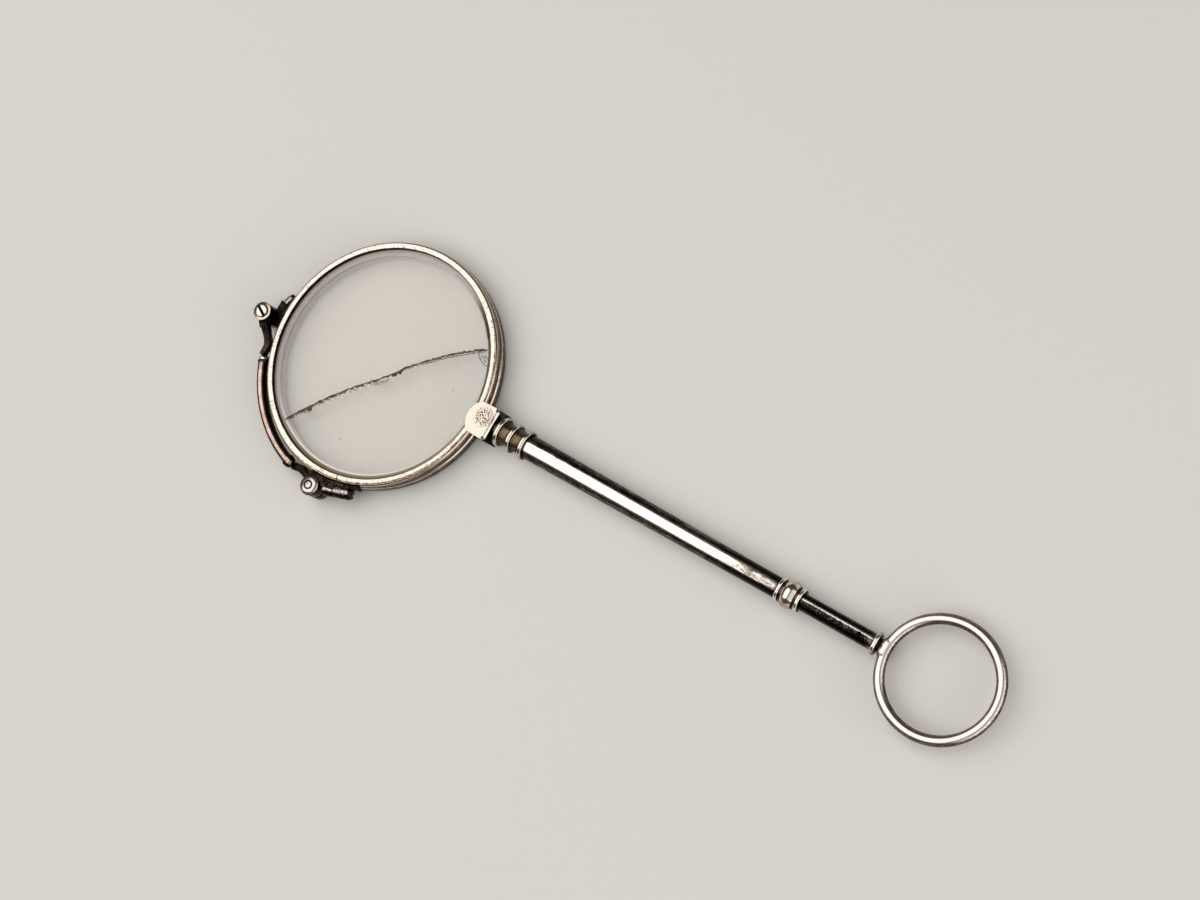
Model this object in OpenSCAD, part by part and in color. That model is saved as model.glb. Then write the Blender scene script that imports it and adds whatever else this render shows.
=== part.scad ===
// Folding lorgnette in silver: two round lenses stacked face to face, a sprung-shut
// bridge bow that hugs them, and a long turned handle that ends in a finger ring.
// The handle lies along +X, the front of the lenses looks up +Z, and the flat back of
// the head block lies on the XY plane, with the origin at the middle of that face.

/* [Lenses and rims] */
// Clear opening of each rim
opening_d = 39.2; // [36:0.2:43]
// Thickness of each lens at its middle
lens_middle_t = 1.5; // [1.3:0.05:1.7]
// Thickness of each lens where its facet starts
lens_edge_t = 1.0; // [0.8:0.05:1.2]
// Width of the ground facet that shows inside the rim
facet_w = 0.9; // [0.5:0.1:1.4]
// Width of a rim, inside to outside
rim_w = 1.3; // [1.15:0.05:1.6]
// Depth of a rim, front to back
rim_h = 1.9; // [1.8:0.05:2.4]
// Depth of the groove that holds the lens
groove_d = 0.45; // [0.35:0.05:0.6]
// Air between the two stacked rims
rim_gap = 0.1; // [0.08:0.01:0.2]
// Saw cut through each rim at its closing barrel
split_w = 0.16; // [0.1:0.02:0.3]

/* [Hinges] */
// Upper hinge, its angle round the lens from the handle
upper_hinge_at = 185.2; // [184:0.2:187]
// Upper hinge, its distance outside the rim
upper_hinge_out = 3.7; // [3.4:0.1:4]
// Lower hinge, its angle round the lens from the handle
lower_hinge_at = 271.4; // [270:0.2:273]
// Lower hinge, its distance outside the rim
lower_hinge_out = 2.2; // [2:0.1:2.5]
// Diameter of the eyes and knuckles
eye_d = 3.2; // [2.9:0.1:3.4]
// How far the front eyes stand proud of the front rim
eye_proud = 0.4; // [0.2:0.05:0.6]
// Diameter of the hinge screws
hinge_screw_d = 1.1; // [0.9:0.05:1.4]
// Diameter of the hinge screws' heads
hinge_head_d = 2.2; // [1.9:0.1:2.5]
// Height of the hinge screws' heads
hinge_head_h = 0.4; // [0.3:0.05:0.5]
// Thickness of the friction washers
washer_t = 0.12; // [0.1:0.01:0.15]
// How far the bridge turns about the upper hinge to open
bridge_turn = 90; // [80:1:92]
// How far the front lens turns about the lower hinge meanwhile
front_turn = 76.5; // [66:0.5:80]

/* [Closing barrels] */
// Diameter of the two barrels that close the rims
barrel_d = 1.9; // [1.6:0.05:1.9]
// Distance round the rim from the lower hinge to the front rim's saw cut
front_cut_from = 4.2; // [4:0.1:4.6]
// Distance round the rim from the upper hinge to the back rim's saw cut
back_cut_from = 3.2; // [3.1:0.1:3.6]
// How far the front barrel's middle stands outside the rim
front_barrel_out = 1.5; // [1.3:0.05:1.7]
// How far the back barrel's middle stands outside the rim
back_barrel_out = 2; // [1.8:0.05:2.2]
// Length of the front barrel on the hinge's side of the cut
front_near_l = 1.9; // [1.7:0.1:2.1]
// Length of the front barrel beyond the cut
front_far_l = 2.8; // [2.4:0.1:3]
// Length of the back barrel on the hinge's side of the cut
back_near_l = 1.5; // [1.3:0.1:1.6]
// Length of the back barrel beyond the cut
back_far_l = 1.4; // [1.2:0.1:1.6]
// Length of the tails that the closing lugs send on round the rim
lug_tail_l = 1.5; // [1:0.1:2]
// Thickness of those tails
lug_tail_t = 0.6; // [0.4:0.05:0.7]
// Diameter of the closing screws
closing_screw_d = 0.9; // [0.7:0.05:1]
// Diameter of the closing screws' heads
closing_head_d = 1.6; // [1.3:0.05:1.8]
// Height of the closing screws' heads
closing_head_h = 0.5; // [0.4:0.05:0.7]

/* [Bridge] */
// Distance of the bow's middle outside the rim
bow_out = 1.6; // [1.5:0.05:1.8]
// Width of the bow
bow_w = 1.5; // [1.2:0.1:1.7]
// Depth of the bow, front to back
bow_h = 2.2; // [1.9:0.1:2.6]
// Upper ferrule, its angle round the lens
upper_ferrule_at = 204; // [202:0.5:207]
// Lower ferrule, its angle round the lens
lower_ferrule_at = 254.5; // [252:0.5:256]
// Diameter of the ferrules
ferrule_d = 2.1; // [2:0.05:2.3]
// Length of the ferrules along the bow
ferrule_l = 1.3; // [1:0.1:1.5]
// Thickness of the arms between ferrule and eye
arm_t = 1.4; // [1.2:0.05:1.7]
// Length of the square shoulder beside the upper eye
shoulder_l = 2.7; // [2.4:0.1:3]

/* [Head block] */
// Width of the head block
head_w = 5.5; // [5:0.1:6.2]
// How far the head block reaches over the rims
head_over = 1.8; // [1.4:0.1:2.2]
// How far the head block reaches outside the rims
head_out = 3.1; // [3.1:0.1:3.6]
// Radius of the head block's round end
head_round_r = 3.3; // [3.15:0.05:3.6]
// Thickness of the front cheek
cheek_t = 0.7; // [0.5:0.05:1]
// Thickness of the floor under the back rim
floor_t = 0.3; // [0.2:0.05:0.5]
// Bevel of the front cheek's straight edge
cheek_bevel = 0.3; // [0.1:0.05:0.4]

/* [Turned neck] */
// Diameter of the three beads
bead_d = 5; // [4.6:0.1:5]
// Width of a bead
bead_w = 0.75; // [0.6:0.05:0.9]
// Distance from bead to bead
bead_pitch = 2.45; // [2.2:0.05:3]
// Diameter at the bottom of the coves
cove_d = 3.7; // [3.6:0.1:4]
// How much the coves flare at the beads
cove_rise = 0.35; // [0.2:0.05:0.45]
// Length of the collar between head block and first bead
neck_collar_l = 0.7; // [0.6:0.05:1]
// Diameter of that collar
neck_collar_d = 3.5; // [3.2:0.05:3.6]
// Length of the tenon inside the tube
tenon_l = 4; // [3:0.5:6]

/* [Handle] */
// Diameter of the handle tube at the neck
tube_top_d = 4; // [3.9:0.05:4.4]
// Diameter of the handle tube at the band
tube_end_d = 3.2; // [3.2:0.05:3.5]
// Length of the handle tube
tube_l = 46.8; // [36:0.2:70]
// Wall of the handle tube
tube_wall = 0.25; // [0.2:0.01:0.25]
// Diameter of the lower tube
lower_d = 2.65; // [2.3:0.05:2.65]
// Wall of the lower tube
lower_wall = 0.32; // [0.25:0.01:0.4]
// Length of the lower tube below the band
lower_l = 12.2; // [8:0.2:24]
// How far the lower tube reaches up inside the handle tube
lower_in = 5; // [3:0.5:8]
// Diameter of the band's two edge rings
edge_ring_d = 4; // [3.8:0.05:4.2]
// Width of the band's two edge rings
edge_ring_w = 0.6; // [0.4:0.05:0.7]
// Largest diameter of the band's swelled middle
band_d = 4.5; // [4.3:0.05:4.8]
// Width of the band's swelled middle
band_w = 2.8; // [2.4:0.1:3.4]

/* [Finger ring] */
// Diameter of the finger ring, middle to middle of its wire
ring_d = 17.3; // [15:0.1:22]
// Diameter of the ring's wire
ring_wire_d = 1.65; // [1.4:0.05:1.9]
// Diameter of the disc collar at the end of the handle
end_disc_d = 3.7; // [3.2:0.05:4.2]
// Width of the disc collar
end_disc_w = 0.55; // [0.4:0.05:0.8]
// Length of the spigot inside the lower tube
spigot_l = 3.4; // [3:0.1:5]
// Diameter of the pin through the tube and the spigot
pin_d = 0.6; // [0.4:0.05:0.8]
// Distance of the pin from the disc collar
pin_back = 2.3; // [1.8:0.1:2.4]
// Length of the foot between the disc and the saddle
foot_l = 0.65; // [0.4:0.05:1]
// Length of the saddle along the ring's wire
saddle_l = 2.9; // [2.4:0.1:3.4]

/* [Clearances] */
// Radial clearance of a pin in the eye that turns on it
running = 0.03; // [0.02:0.005:0.05]
// Gap round what is soldered, screwed or set in one piece with its seat
seat = 0.02; // [0.01:0.005:0.03]
// Air between the front rim and the cheeks of the head block
fork_gap = 0.1; // [0.08:0.01:0.15]
// Air kept round the front rim where it swings out of the fork
swing_gap = 0.1; // [0.08:0.01:0.2]

/* [Hidden] */
$fn = 96;

// Radii of the rims and heights of the stacked layers, from the back up
rim_ri = opening_d / 2;
rim_ro = rim_ri + rim_w;
back_z = floor_t;
back_top = back_z + rim_h;
front_z = back_top + rim_gap;
front_top = front_z + rim_h;
cheek_z = front_top + fork_gap;
head_top = cheek_z + cheek_t;
axis_z = head_top / 2;
eye_top = front_top + eye_proud;
front_eye_z = back_top + washer_t + running;
head_seat_z = hinge_head_h + running;

// Hinge axes round the lens centre, and the ratio of the two turns
function polar(r, a) = [r * cos(a), r * sin(a)];
function turned(p, a) = [p[0] * cos(a) - p[1] * sin(a), p[0] * sin(a) + p[1] * cos(a)];
upper_hinge_r = rim_ro + upper_hinge_out;
lower_hinge_r = rim_ro + lower_hinge_out;
upper_hinge = polar(upper_hinge_r, upper_hinge_at);
lower_hinge = polar(lower_hinge_r, lower_hinge_at);
turn_ratio = front_turn / bridge_turn;

// Where the front rim's centre is when the bridge has turned by s, and how far the
// rim then reaches along the handle at a height y beside its axis
function front_centre(s) = upper_hinge + turned(lower_hinge - upper_hinge, -s)
    + turned(-lower_hinge, -s * (1 + turn_ratio));
function reach_at(y, s) = let (c = front_centre(s), q = rim_ro * rim_ro - (y - c[1]) * (y - c[1]))
    q > 0 ? c[0] + sqrt(q) : 0;
swing_steps = [0:1.5:45];
function swing_reach(y) = max([for (s = swing_steps) reach_at(y, s)]) + swing_gap;

// Head block and the line of turned pieces along the handle
head_left = rim_ro - head_over;
head_right = rim_ro + head_out;
head_mid = head_left + head_round_r;
neck_x = head_right;
first_bead_x = neck_x + neck_collar_l;
tube_taper = (tube_top_d - tube_end_d) / tube_l;
tenon_d = tube_top_d - 2 * tube_wall - tube_taper * (tenon_l + 1) - 2 * seat;
neck_l = neck_collar_l + 2 * bead_pitch + bead_w;
tube_x = neck_x + neck_l;
band_x = tube_x + tube_l;
band_mid_x = band_x + edge_ring_w;
band_low_x = band_mid_x + band_w;
lower_x = band_low_x + edge_ring_w;
disc_x = lower_x + lower_l;
foot_x = disc_x + end_disc_w;
saddle_x = foot_x + foot_l;
ring_x = saddle_x + ring_wire_d / 2 + ring_d / 2;

// Closing barrels: side is +1 where the far end lies counter-clockwise, -1 where clockwise
function arc_angle(l, r) = l / r * 180 / PI;
front_barrel_at = lower_hinge_at + arc_angle(front_cut_from, lower_hinge_r);
front_barrel_r = rim_ro + front_barrel_out;
front_barrel_tilt = 6;
back_barrel_at = upper_hinge_at - arc_angle(back_cut_from, upper_hinge_r);
back_barrel_r = rim_ro + back_barrel_out;
back_barrel_tilt = 16;
web_in = eye_d / 4;
lug_lead = eye_d * 0.4;
thread_share = 0.7;
slot_share = 0.25;

// Bridge arms: width at the eye end and at the ferrule end, and how near the rim they dip
bow_r = rim_ro + bow_out;
arm_dip = 0.5;
arm_steps = 14;
ferrule_half = arc_angle(ferrule_l / 2, bow_r);
bow_z = axis_z;

rim_steps = 8;
lens_steps = 10;

module disc_between(r, z0, z1) {
    translate([0, 0, z0]) cylinder(r = r, h = z1 - z0);
}

module ring_between(ri, ro, z0, z1) {
    difference() {
        disc_between(ro, z0, z1);
        translate([0, 0, -1]) disc_between(ri, z0, z1 + 2);
    }
}

module wedge(a0, a1, r) {
    a = min(a0, a1);
    b = max(a0, a1);
    polygon(concat([[0, 0]], [for (i = [0:4]) polar(r, a + (b - a) * i / 4)]));
}

// Rims and lenses
module rim(z, split_at) {
    nose = rim_h / 2;
    difference() {
        rotate_extrude() translate([0, z + rim_h / 2]) difference() {
            union() {
                translate([rim_ri, -rim_h / 2]) square([rim_w - nose, rim_h]);
                translate([rim_ro - nose, 0]) intersection() {
                    circle(r = nose);
                    translate([0, -nose]) square([nose, 2 * nose]);
                }
            }
            polygon([
                [rim_ri - 0.01, -groove_d * 0.7], [rim_ri + groove_d, 0], [rim_ri - 0.01, groove_d * 0.7]
            ]);
        }
        rotate(split_at) translate([rim_ri - 1, -split_w / 2, z - 1]) cube([rim_w + 2, split_w, rim_h + 2]);
    }
}

module lens(z) {
    apex_r = rim_ri + groove_d - 0.1;
    flat_r = rim_ri - facet_w;
    sag = (lens_middle_t - lens_edge_t) / 2;
    half = [for (i = [0:lens_steps]) let (r = flat_r * i / lens_steps)
        [r, lens_edge_t / 2 + sag * (1 - pow(r / flat_r, 2))]];
    under = [for (i = [lens_steps:-1:0]) [half[i][0], -half[i][1]]];
    rotate_extrude() translate([0, z + rim_h / 2]) polygon(concat(half, [[apex_r, 0]], under));
}

module back_rim() { color("#b9b0a4") rim(back_z, back_barrel_at); }
module back_lens() { color("#dfe3e2", 0.5) lens(back_z); }
module front_rim() { color("#cfc6b8") rim(front_z, front_barrel_at); }
module front_lens() { color("#e6e9e8", 0.5) lens(front_z); }

// Closing barrels with their lugs and screws
module at_barrel(r, at, side, tilt, z) {
    translate([r * cos(at), r * sin(at), z + rim_h / 2]) rotate(at + side * (90 + tilt))
        rotate([0, 90, 0]) children();
}

module web(z, a0, a1, r) {
    translate([0, 0, z]) linear_extrude(rim_h) difference() {
        intersection() {
            circle(r = r);
            wedge(a0, a1, r * 1.2);
        }
        circle(r = rim_ro + seat);
    }
}

// Everything on one side of the saw cut: to is +1 for the far side, -1 for the hinge's side
module past_cut(to) {
    b = barrel_d * 2;
    translate([-b, -b, to > 0 ? -split_w / 2 : split_w / 2 - 2 * b]) cube([2 * b, 2 * b, 2 * b]);
}

module hinge_lug(z, hinge, hinge_at, hinge_r, eye_z0, eye_z1, barrel_r, barrel_at, side, tilt, near_l) {
    over = arc_angle(split_w * 3, rim_ro);
    difference() {
        union() {
            web(z, hinge_at - side * arc_angle(lug_lead, rim_ro), barrel_at + side * over, hinge_r - web_in);
            translate(hinge) disc_between(eye_d / 2, eye_z0, eye_z1);
            at_barrel(barrel_r, barrel_at, side, tilt, z)
                disc_between(barrel_d / 2, -near_l, -split_w / 2);
        }
        translate(hinge) disc_between(hinge_screw_d / 2 + seat, -1, eye_top + 2);
        translate(hinge) disc_between(eye_d / 2 + running, z - 1, eye_z0);
        at_barrel(barrel_r, barrel_at, side, tilt, z)
        {
            disc_between(closing_screw_d / 2 + seat, -near_l * thread_share, near_l);
            past_cut(1);
        }
        disc_between(rim_ro + seat, z - 1, z + rim_h + 1);
    }
}

module closing_lug(z, barrel_r, barrel_at, side, tilt, far_l) {
    over = arc_angle(split_w * 3, rim_ro);
    end = arc_angle(far_l - seat, barrel_r);
    tail = end + arc_angle(lug_tail_l, rim_ro);
    difference() {
        union() {
            web(z, barrel_at - side * over, barrel_at + side * end, barrel_r - barrel_d / 4);
            web(z, barrel_at - side * over, barrel_at + side * tail, rim_ro + lug_tail_t);
            at_barrel(barrel_r, barrel_at, side, tilt, z)
                disc_between(barrel_d / 2, split_w / 2, far_l);
        }
        at_barrel(barrel_r, barrel_at, side, tilt, z) {
            disc_between(closing_screw_d / 2 + running, -far_l, 2 * far_l);
            disc_between(closing_head_d / 2 + seat * 2, far_l, far_l + closing_head_h * 1.2);
            past_cut(-1);
        }
        disc_between(rim_ro + seat, z - 1, z + rim_h + 1);
    }
}

module closing_screw(z, barrel_r, barrel_at, side, tilt, near_l, far_l) {
    at_barrel(barrel_r, barrel_at, side, tilt, z) difference() {
        union() {
            disc_between(closing_screw_d / 2, -near_l * thread_share + seat * 2, far_l + closing_head_h / 2);
            disc_between(closing_head_d / 2, far_l, far_l + closing_head_h);
        }
        translate([-closing_head_d, -closing_head_d * slot_share / 2, far_l + closing_head_h * 0.5])
            cube([closing_head_d * 2, closing_head_d * slot_share, closing_head_h]);
    }
}

module back_hinge_lug() {
    color("#4a403a")
        hinge_lug(back_z, upper_hinge, upper_hinge_at, upper_hinge_r, 0, back_top,
            back_barrel_r, back_barrel_at, -1, back_barrel_tilt, back_near_l);
}
module back_closing_lug() {
    color("#5a4e46") closing_lug(back_z, back_barrel_r, back_barrel_at, -1, back_barrel_tilt, back_far_l);
}
module back_closing_screw() {
    color("#3a322e")
        closing_screw(back_z, back_barrel_r, back_barrel_at, -1, back_barrel_tilt, back_near_l, back_far_l);
}
module front_hinge_lug() {
    color("#c9c1b6")
        hinge_lug(front_z, lower_hinge, lower_hinge_at, lower_hinge_r, front_eye_z, eye_top,
            front_barrel_r, front_barrel_at, 1, front_barrel_tilt, front_near_l);
}
module front_closing_lug() {
    color("#5a4e46") closing_lug(front_z, front_barrel_r, front_barrel_at, 1, front_barrel_tilt, front_far_l);
}
module front_closing_screw() {
    color("#3a322e")
        closing_screw(front_z, front_barrel_r, front_barrel_at, 1, front_barrel_tilt, front_near_l, front_far_l);
}

// Bridge bow with its ferrules and arms
module bow_section() {
    straight = bow_h - bow_w;
    translate([bow_r, 0]) {
        translate([-bow_w / 2, -straight / 2]) square([bow_w, straight]);
        for (s = [-1, 1]) translate([0, s * straight / 2]) circle(d = bow_w);
    }
}

module bridge_bow() {
    end = arc_angle(ferrule_l / 2 + 2 * seat, bow_r);
    color("#b79f8e") translate([0, 0, bow_z]) rotate(upper_ferrule_at + end)
        rotate_extrude(angle = lower_ferrule_at - upper_ferrule_at - 2 * end) bow_section();
}

// A ferrule is a ring at the bow's end with a dome towards the arm
module ferrule(at, side) {
    ring_l = ferrule_l * 0.35;
    steps = 6;
    rotate(at) translate([bow_r, 0, bow_z]) rotate([side * 90, 0, 0]) translate([0, 0, -ferrule_l / 2])
        rotate_extrude() polygon(concat(
            [[0, 0], [ferrule_d / 2, 0], [ferrule_d / 2, ring_l]],
            [for (i = [1:steps]) let (u = i / steps)
                [ferrule_d / 2 * (0.45 + 0.5 * cos(90 * u)), ring_l + (ferrule_l - ring_l) * sin(90 * u)]],
            [[0, ferrule_l]]
        ));
}

module upper_ferrule() { color("#e4ddd2") ferrule(upper_ferrule_at, 1); }
module lower_ferrule() { color("#d8cfc4") ferrule(lower_ferrule_at, -1); }

// An arm swings in from its eye to a dip near the rim and out again to its ferrule
module arm(hinge, hinge_r, hinge_at, ferrule_at, side, eye_w, ferrule_w, z0, z1, neck_z0, neck_z1, step_l, step_z) {
    a0 = hinge_at;
    a1 = ferrule_at - side * ferrule_half;
    dip_r = bow_r - arm_dip;
    function mid_r(u) = u < 0.75
        ? dip_r + (hinge_r - dip_r) * (1 + cos(180 * u / 0.75)) / 2
        : dip_r + (bow_r - dip_r) * (1 - cos(180 * (u - 0.75) / 0.25)) / 2;
    function half_w(u) = (eye_w + (ferrule_w - eye_w) * u) / 2;
    outer = [for (i = [0:arm_steps]) let (u = i / arm_steps)
        polar(mid_r(u) + half_w(u), a0 + (a1 - a0) * u)];
    inner = [for (i = [arm_steps:-1:0]) let (u = i / arm_steps)
        polar(mid_r(u) - half_w(u), a0 + (a1 - a0) * u)];
    step_u = step_l / hinge_r * 180 / PI / abs(a1 - a0);
    step_outer = [for (i = [0:4]) let (u = step_u * i / 4) polar(mid_r(u) + half_w(0), a0 + (a1 - a0) * u)];
    step_inner = [for (i = [4:-1:0]) let (u = step_u * i / 4) polar(mid_r(u) - half_w(0), a0 + (a1 - a0) * u)];
    difference() {
        union() {
            translate(hinge) disc_between(eye_d / 2, z0, z1);
            translate([0, 0, neck_z0]) linear_extrude(neck_z1 - neck_z0) polygon(concat(outer, inner));
            if (step_l > 0)
                translate([0, 0, neck_z0]) linear_extrude(step_z - neck_z0) polygon(concat(step_outer, step_inner));
        }
        translate(hinge) disc_between(hinge_screw_d / 2 + running, z0 - 1, z1 + 1);
    }
}

module upper_bow_arm() {
    color("#4b413b") arm(upper_hinge, upper_hinge_r, upper_hinge_at, upper_ferrule_at, 1, 1.7, 0.8,
        front_eye_z, eye_top, front_eye_z, front_eye_z + arm_t, shoulder_l, front_eye_z + arm_t + seat * 8);
}
module lower_bow_arm() {
    color("#3f3733") arm(lower_hinge, lower_hinge_r, lower_hinge_at, lower_ferrule_at, -1, 0.9, 1.4,
        head_seat_z, back_top, back_top - arm_t, back_top, 0, back_top);
}

// Hinge screws and washers
module upper_hinge_screw() {
    color("#d9d1c6") translate(upper_hinge) difference() {
        union() {
            disc_between(hinge_screw_d / 2, 0.05, eye_top + running + 0.1);
            disc_between(hinge_head_d / 2, eye_top + running, eye_top + running + hinge_head_h);
        }
        rotate(20) translate([-hinge_head_d, -0.2, eye_top + running + hinge_head_h * 0.45])
            cube([hinge_head_d * 2, 0.4, hinge_head_h]);
    }
}
module lower_hinge_screw() {
    tail_d = hinge_screw_d + 0.1;
    color("#b5aca1") translate(lower_hinge) difference() {
        union() {
            disc_between(hinge_head_d / 2, 0, hinge_head_h);
            disc_between(hinge_screw_d / 2, hinge_head_h - 0.1, eye_top + 0.05);
            disc_between(tail_d / 2, eye_top + 0.01, eye_top + 0.2);
        }
        rotate(65) translate([-hinge_head_d, -0.2, -hinge_head_h]) cube([hinge_head_d * 2, 0.4, hinge_head_h * 1.5]);
    }
}
module washer(hinge) {
    translate(hinge) ring_between(hinge_screw_d / 2 + running, eye_d / 2 - 0.1, back_top, back_top + washer_t);
}
module upper_hinge_washer() { color("#8d8378") washer(upper_hinge); }
module lower_hinge_washer() { color("#8d8378") washer(lower_hinge); }

// Head block: a fork whose slot follows the front rim's swing
module head_outline() {
    intersection() {
        translate([head_mid, 0]) circle(r = head_round_r);
        translate([head_left - 1, -head_w / 2]) square([head_right - head_left + 1, head_w]);
    }
}

module swing_space() {
    reach_half = head_w / 2 + 0.5;
    steps = 12;
    polygon(concat(
        [[head_left - 2, reach_half], [head_left - 2, -reach_half]],
        [for (i = [0:steps]) let (y = -reach_half + 2 * reach_half * i / steps) [swing_reach(y), y]]
    ));
}

module rear_cheek() {
    color("#a79c90") difference() {
        linear_extrude(back_top) head_outline();
        disc_between(rim_ro + seat, floor_t - seat, back_top + 1);
    }
}

module cheek_spacer() {
    color("#8d8276") translate([0, 0, back_top]) linear_extrude(cheek_z - back_top) difference() {
        head_outline();
        swing_space();
    }
}

module front_cheek() {
    color("#ece5d8") difference() {
        translate([0, 0, cheek_z]) linear_extrude(cheek_t) head_outline();
        translate([head_right, 0, head_top]) rotate([0, 45, 0])
            cube([cheek_bevel * sqrt(2), head_w + 2, cheek_bevel * sqrt(2)], center = true);
    }
}

// Turned pieces along the handle
module along_handle(x) {
    translate([x, 0, axis_z]) rotate([0, 90, 0]) children();
}

module bead(x, d, w) {
    along_handle(x) {
        cylinder(d = d - w, h = w);
        rotate_extrude() translate([d / 2 - w / 2, w / 2]) circle(d = w);
    }
}

module cove(x, l) {
    steps = 8;
    along_handle(x) rotate_extrude() polygon(concat(
        [[0, 0]],
        [for (i = [0:steps]) let (u = i / steps) [cove_d / 2 + cove_rise * pow(2 * u - 1, 2), l * u]],
        [[0, l]]
    ));
}

module neck_collar() {
    color("#5f544b") difference() {
        along_handle(neck_x) cylinder(d = neck_collar_d, h = neck_collar_l);
        translate([0, 0, back_top]) linear_extrude(cheek_z - back_top) swing_space();
    }
}

module turned_neck() {
    color("#9a8c7d") difference() {
        union() {
            along_handle(first_bead_x) cylinder(d = cove_d, h = neck_l - neck_collar_l);
            for (i = [0:2]) bead(first_bead_x + i * bead_pitch, bead_d, bead_w);
            for (i = [0:1]) cove(first_bead_x + i * bead_pitch + bead_w, bead_pitch - bead_w);
            along_handle(tube_x - bead_w / 2) cylinder(d = tenon_d, h = tenon_l + bead_w / 2);
        }
        translate([0, 0, back_top]) linear_extrude(cheek_z - back_top) swing_space();
    }
}

module handle_tube() {
    color("#8f8a86") along_handle(tube_x) difference() {
        cylinder(d1 = tube_top_d, d2 = tube_end_d, h = tube_l);
        translate([0, 0, -1]) cylinder(
            d1 = tube_top_d - 2 * tube_wall + tube_taper, d2 = tube_end_d - 2 * tube_wall - tube_taper,
            h = tube_l + 2);
    }
}

module edge_ring(x) {
    difference() {
        bead(x, edge_ring_d, edge_ring_w);
        along_handle(x - 1) cylinder(d = lower_d + 2 * seat, h = edge_ring_w + 2);
    }
}
module band_upper_ring() { color("#d2c9bd") edge_ring(band_x); }
module band_lower_ring() { color("#d2c9bd") edge_ring(band_low_x); }

module band_middle() {
    steps = 10;
    shoulder = edge_ring_d / 2 - 0.2;
    groove_r = edge_ring_d / 2 - 0.4;
    groove_w = 0.4;
    swell_w = band_w - 2 * groove_w;
    color("#c0b2a5") along_handle(band_mid_x) rotate_extrude() polygon(concat(
        [[lower_d / 2 + seat, 0], [groove_r, 0], [groove_r, groove_w]],
        [for (i = [0:steps]) let (u = i / steps)
            [shoulder + (band_d / 2 - shoulder) * sin(180 * u), groove_w + swell_w * u]],
        [[groove_r, band_w - groove_w], [groove_r, band_w], [lower_d / 2 + seat, band_w]]
    ));
}

module pin_hole() {
    translate([disc_x - pin_back, 0, 0]) disc_between(pin_d / 2 + seat, axis_z, axis_z + lower_d);
}

module lower_tube() {
    full_l = lower_in + 2 * edge_ring_w + band_w + lower_l;
    color("#6d6763") difference() {
        along_handle(band_x - lower_in) difference() {
            cylinder(d = lower_d, h = full_l);
            translate([0, 0, -1]) cylinder(d = lower_d - 2 * lower_wall, h = full_l + 2);
        }
        pin_hole();
    }
}

module spigot_pin() {
    color("#7c716a") translate([disc_x - pin_back, 0, 0])
        disc_between(pin_d / 2, axis_z + seat, axis_z + lower_d / 2 - seat);
}

module end_collar() {
    spigot_d = lower_d - 2 * lower_wall - 2 * seat;
    foot_d = ring_wire_d * 1.06;
    color("#cfc5b8") difference() {
        union() {
            bead(disc_x, end_disc_d, end_disc_w);
            along_handle(disc_x - spigot_l) cylinder(d = spigot_d, h = spigot_l + end_disc_w / 2);
            along_handle(foot_x - end_disc_w / 2)
                cylinder(d1 = foot_d * 1.3, d2 = foot_d, h = foot_l + end_disc_w / 2);
        }
        pin_hole();
    }
}

module ring_wire(extra) {
    translate([ring_x, 0, axis_z]) rotate_extrude() translate([ring_d / 2, 0]) circle(d = ring_wire_d + extra);
}

module ring_saddle() {
    saddle_w = ring_wire_d * 1.3;
    color("#b8a698") difference() {
        translate([saddle_x, 0, axis_z]) intersection() {
            translate([0, -saddle_l / 2, -saddle_w / 2]) cube([ring_wire_d * 0.55, saddle_l, saddle_w]);
            rotate([0, 90, 0]) cylinder(d = saddle_l, h = ring_wire_d);
        }
        ring_wire(2 * seat);
    }
}

module finger_ring() { color("#dcd6cc") ring_wire(0); }

// All pieces are drawn round the lens centre and moved so that the head block's back
// is centred on the origin
module place() {
    translate([-head_mid, 0, 0]) children();
}

place() back_rim();
place() back_lens();
place() back_hinge_lug();
place() back_closing_lug();
place() back_closing_screw();
place() front_rim();
place() front_lens();
place() front_hinge_lug();
place() front_closing_lug();
place() front_closing_screw();
place() bridge_bow();
place() upper_ferrule();
place() lower_ferrule();
place() upper_bow_arm();
place() lower_bow_arm();
place() upper_hinge_screw();
place() lower_hinge_screw();
place() upper_hinge_washer();
place() lower_hinge_washer();
place() rear_cheek();
place() cheek_spacer();
place() front_cheek();
place() neck_collar();
place() turned_neck();
place() handle_tube();
place() band_upper_ring();
place() band_middle();
place() band_lower_ring();
place() lower_tube();
place() spigot_pin();
place() end_collar();
place() ring_saddle();
place() finger_ring();
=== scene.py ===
import math

import bpy
from mathutils import Matrix, Vector


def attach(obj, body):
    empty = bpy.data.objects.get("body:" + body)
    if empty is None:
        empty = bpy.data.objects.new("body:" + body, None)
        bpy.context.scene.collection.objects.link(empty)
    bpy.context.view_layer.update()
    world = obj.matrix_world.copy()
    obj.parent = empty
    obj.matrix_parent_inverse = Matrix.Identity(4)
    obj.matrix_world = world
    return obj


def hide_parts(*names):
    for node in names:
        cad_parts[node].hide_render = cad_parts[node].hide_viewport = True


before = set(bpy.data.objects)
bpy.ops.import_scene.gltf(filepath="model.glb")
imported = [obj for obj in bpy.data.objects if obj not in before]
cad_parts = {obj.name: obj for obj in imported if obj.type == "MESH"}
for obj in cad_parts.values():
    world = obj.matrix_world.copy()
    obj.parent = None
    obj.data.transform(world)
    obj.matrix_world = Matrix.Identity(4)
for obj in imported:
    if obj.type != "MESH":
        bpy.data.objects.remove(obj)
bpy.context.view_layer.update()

# Everything below is in metres. Sizes are given in millimetres and multiplied by MM
MM = 0.001

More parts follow.
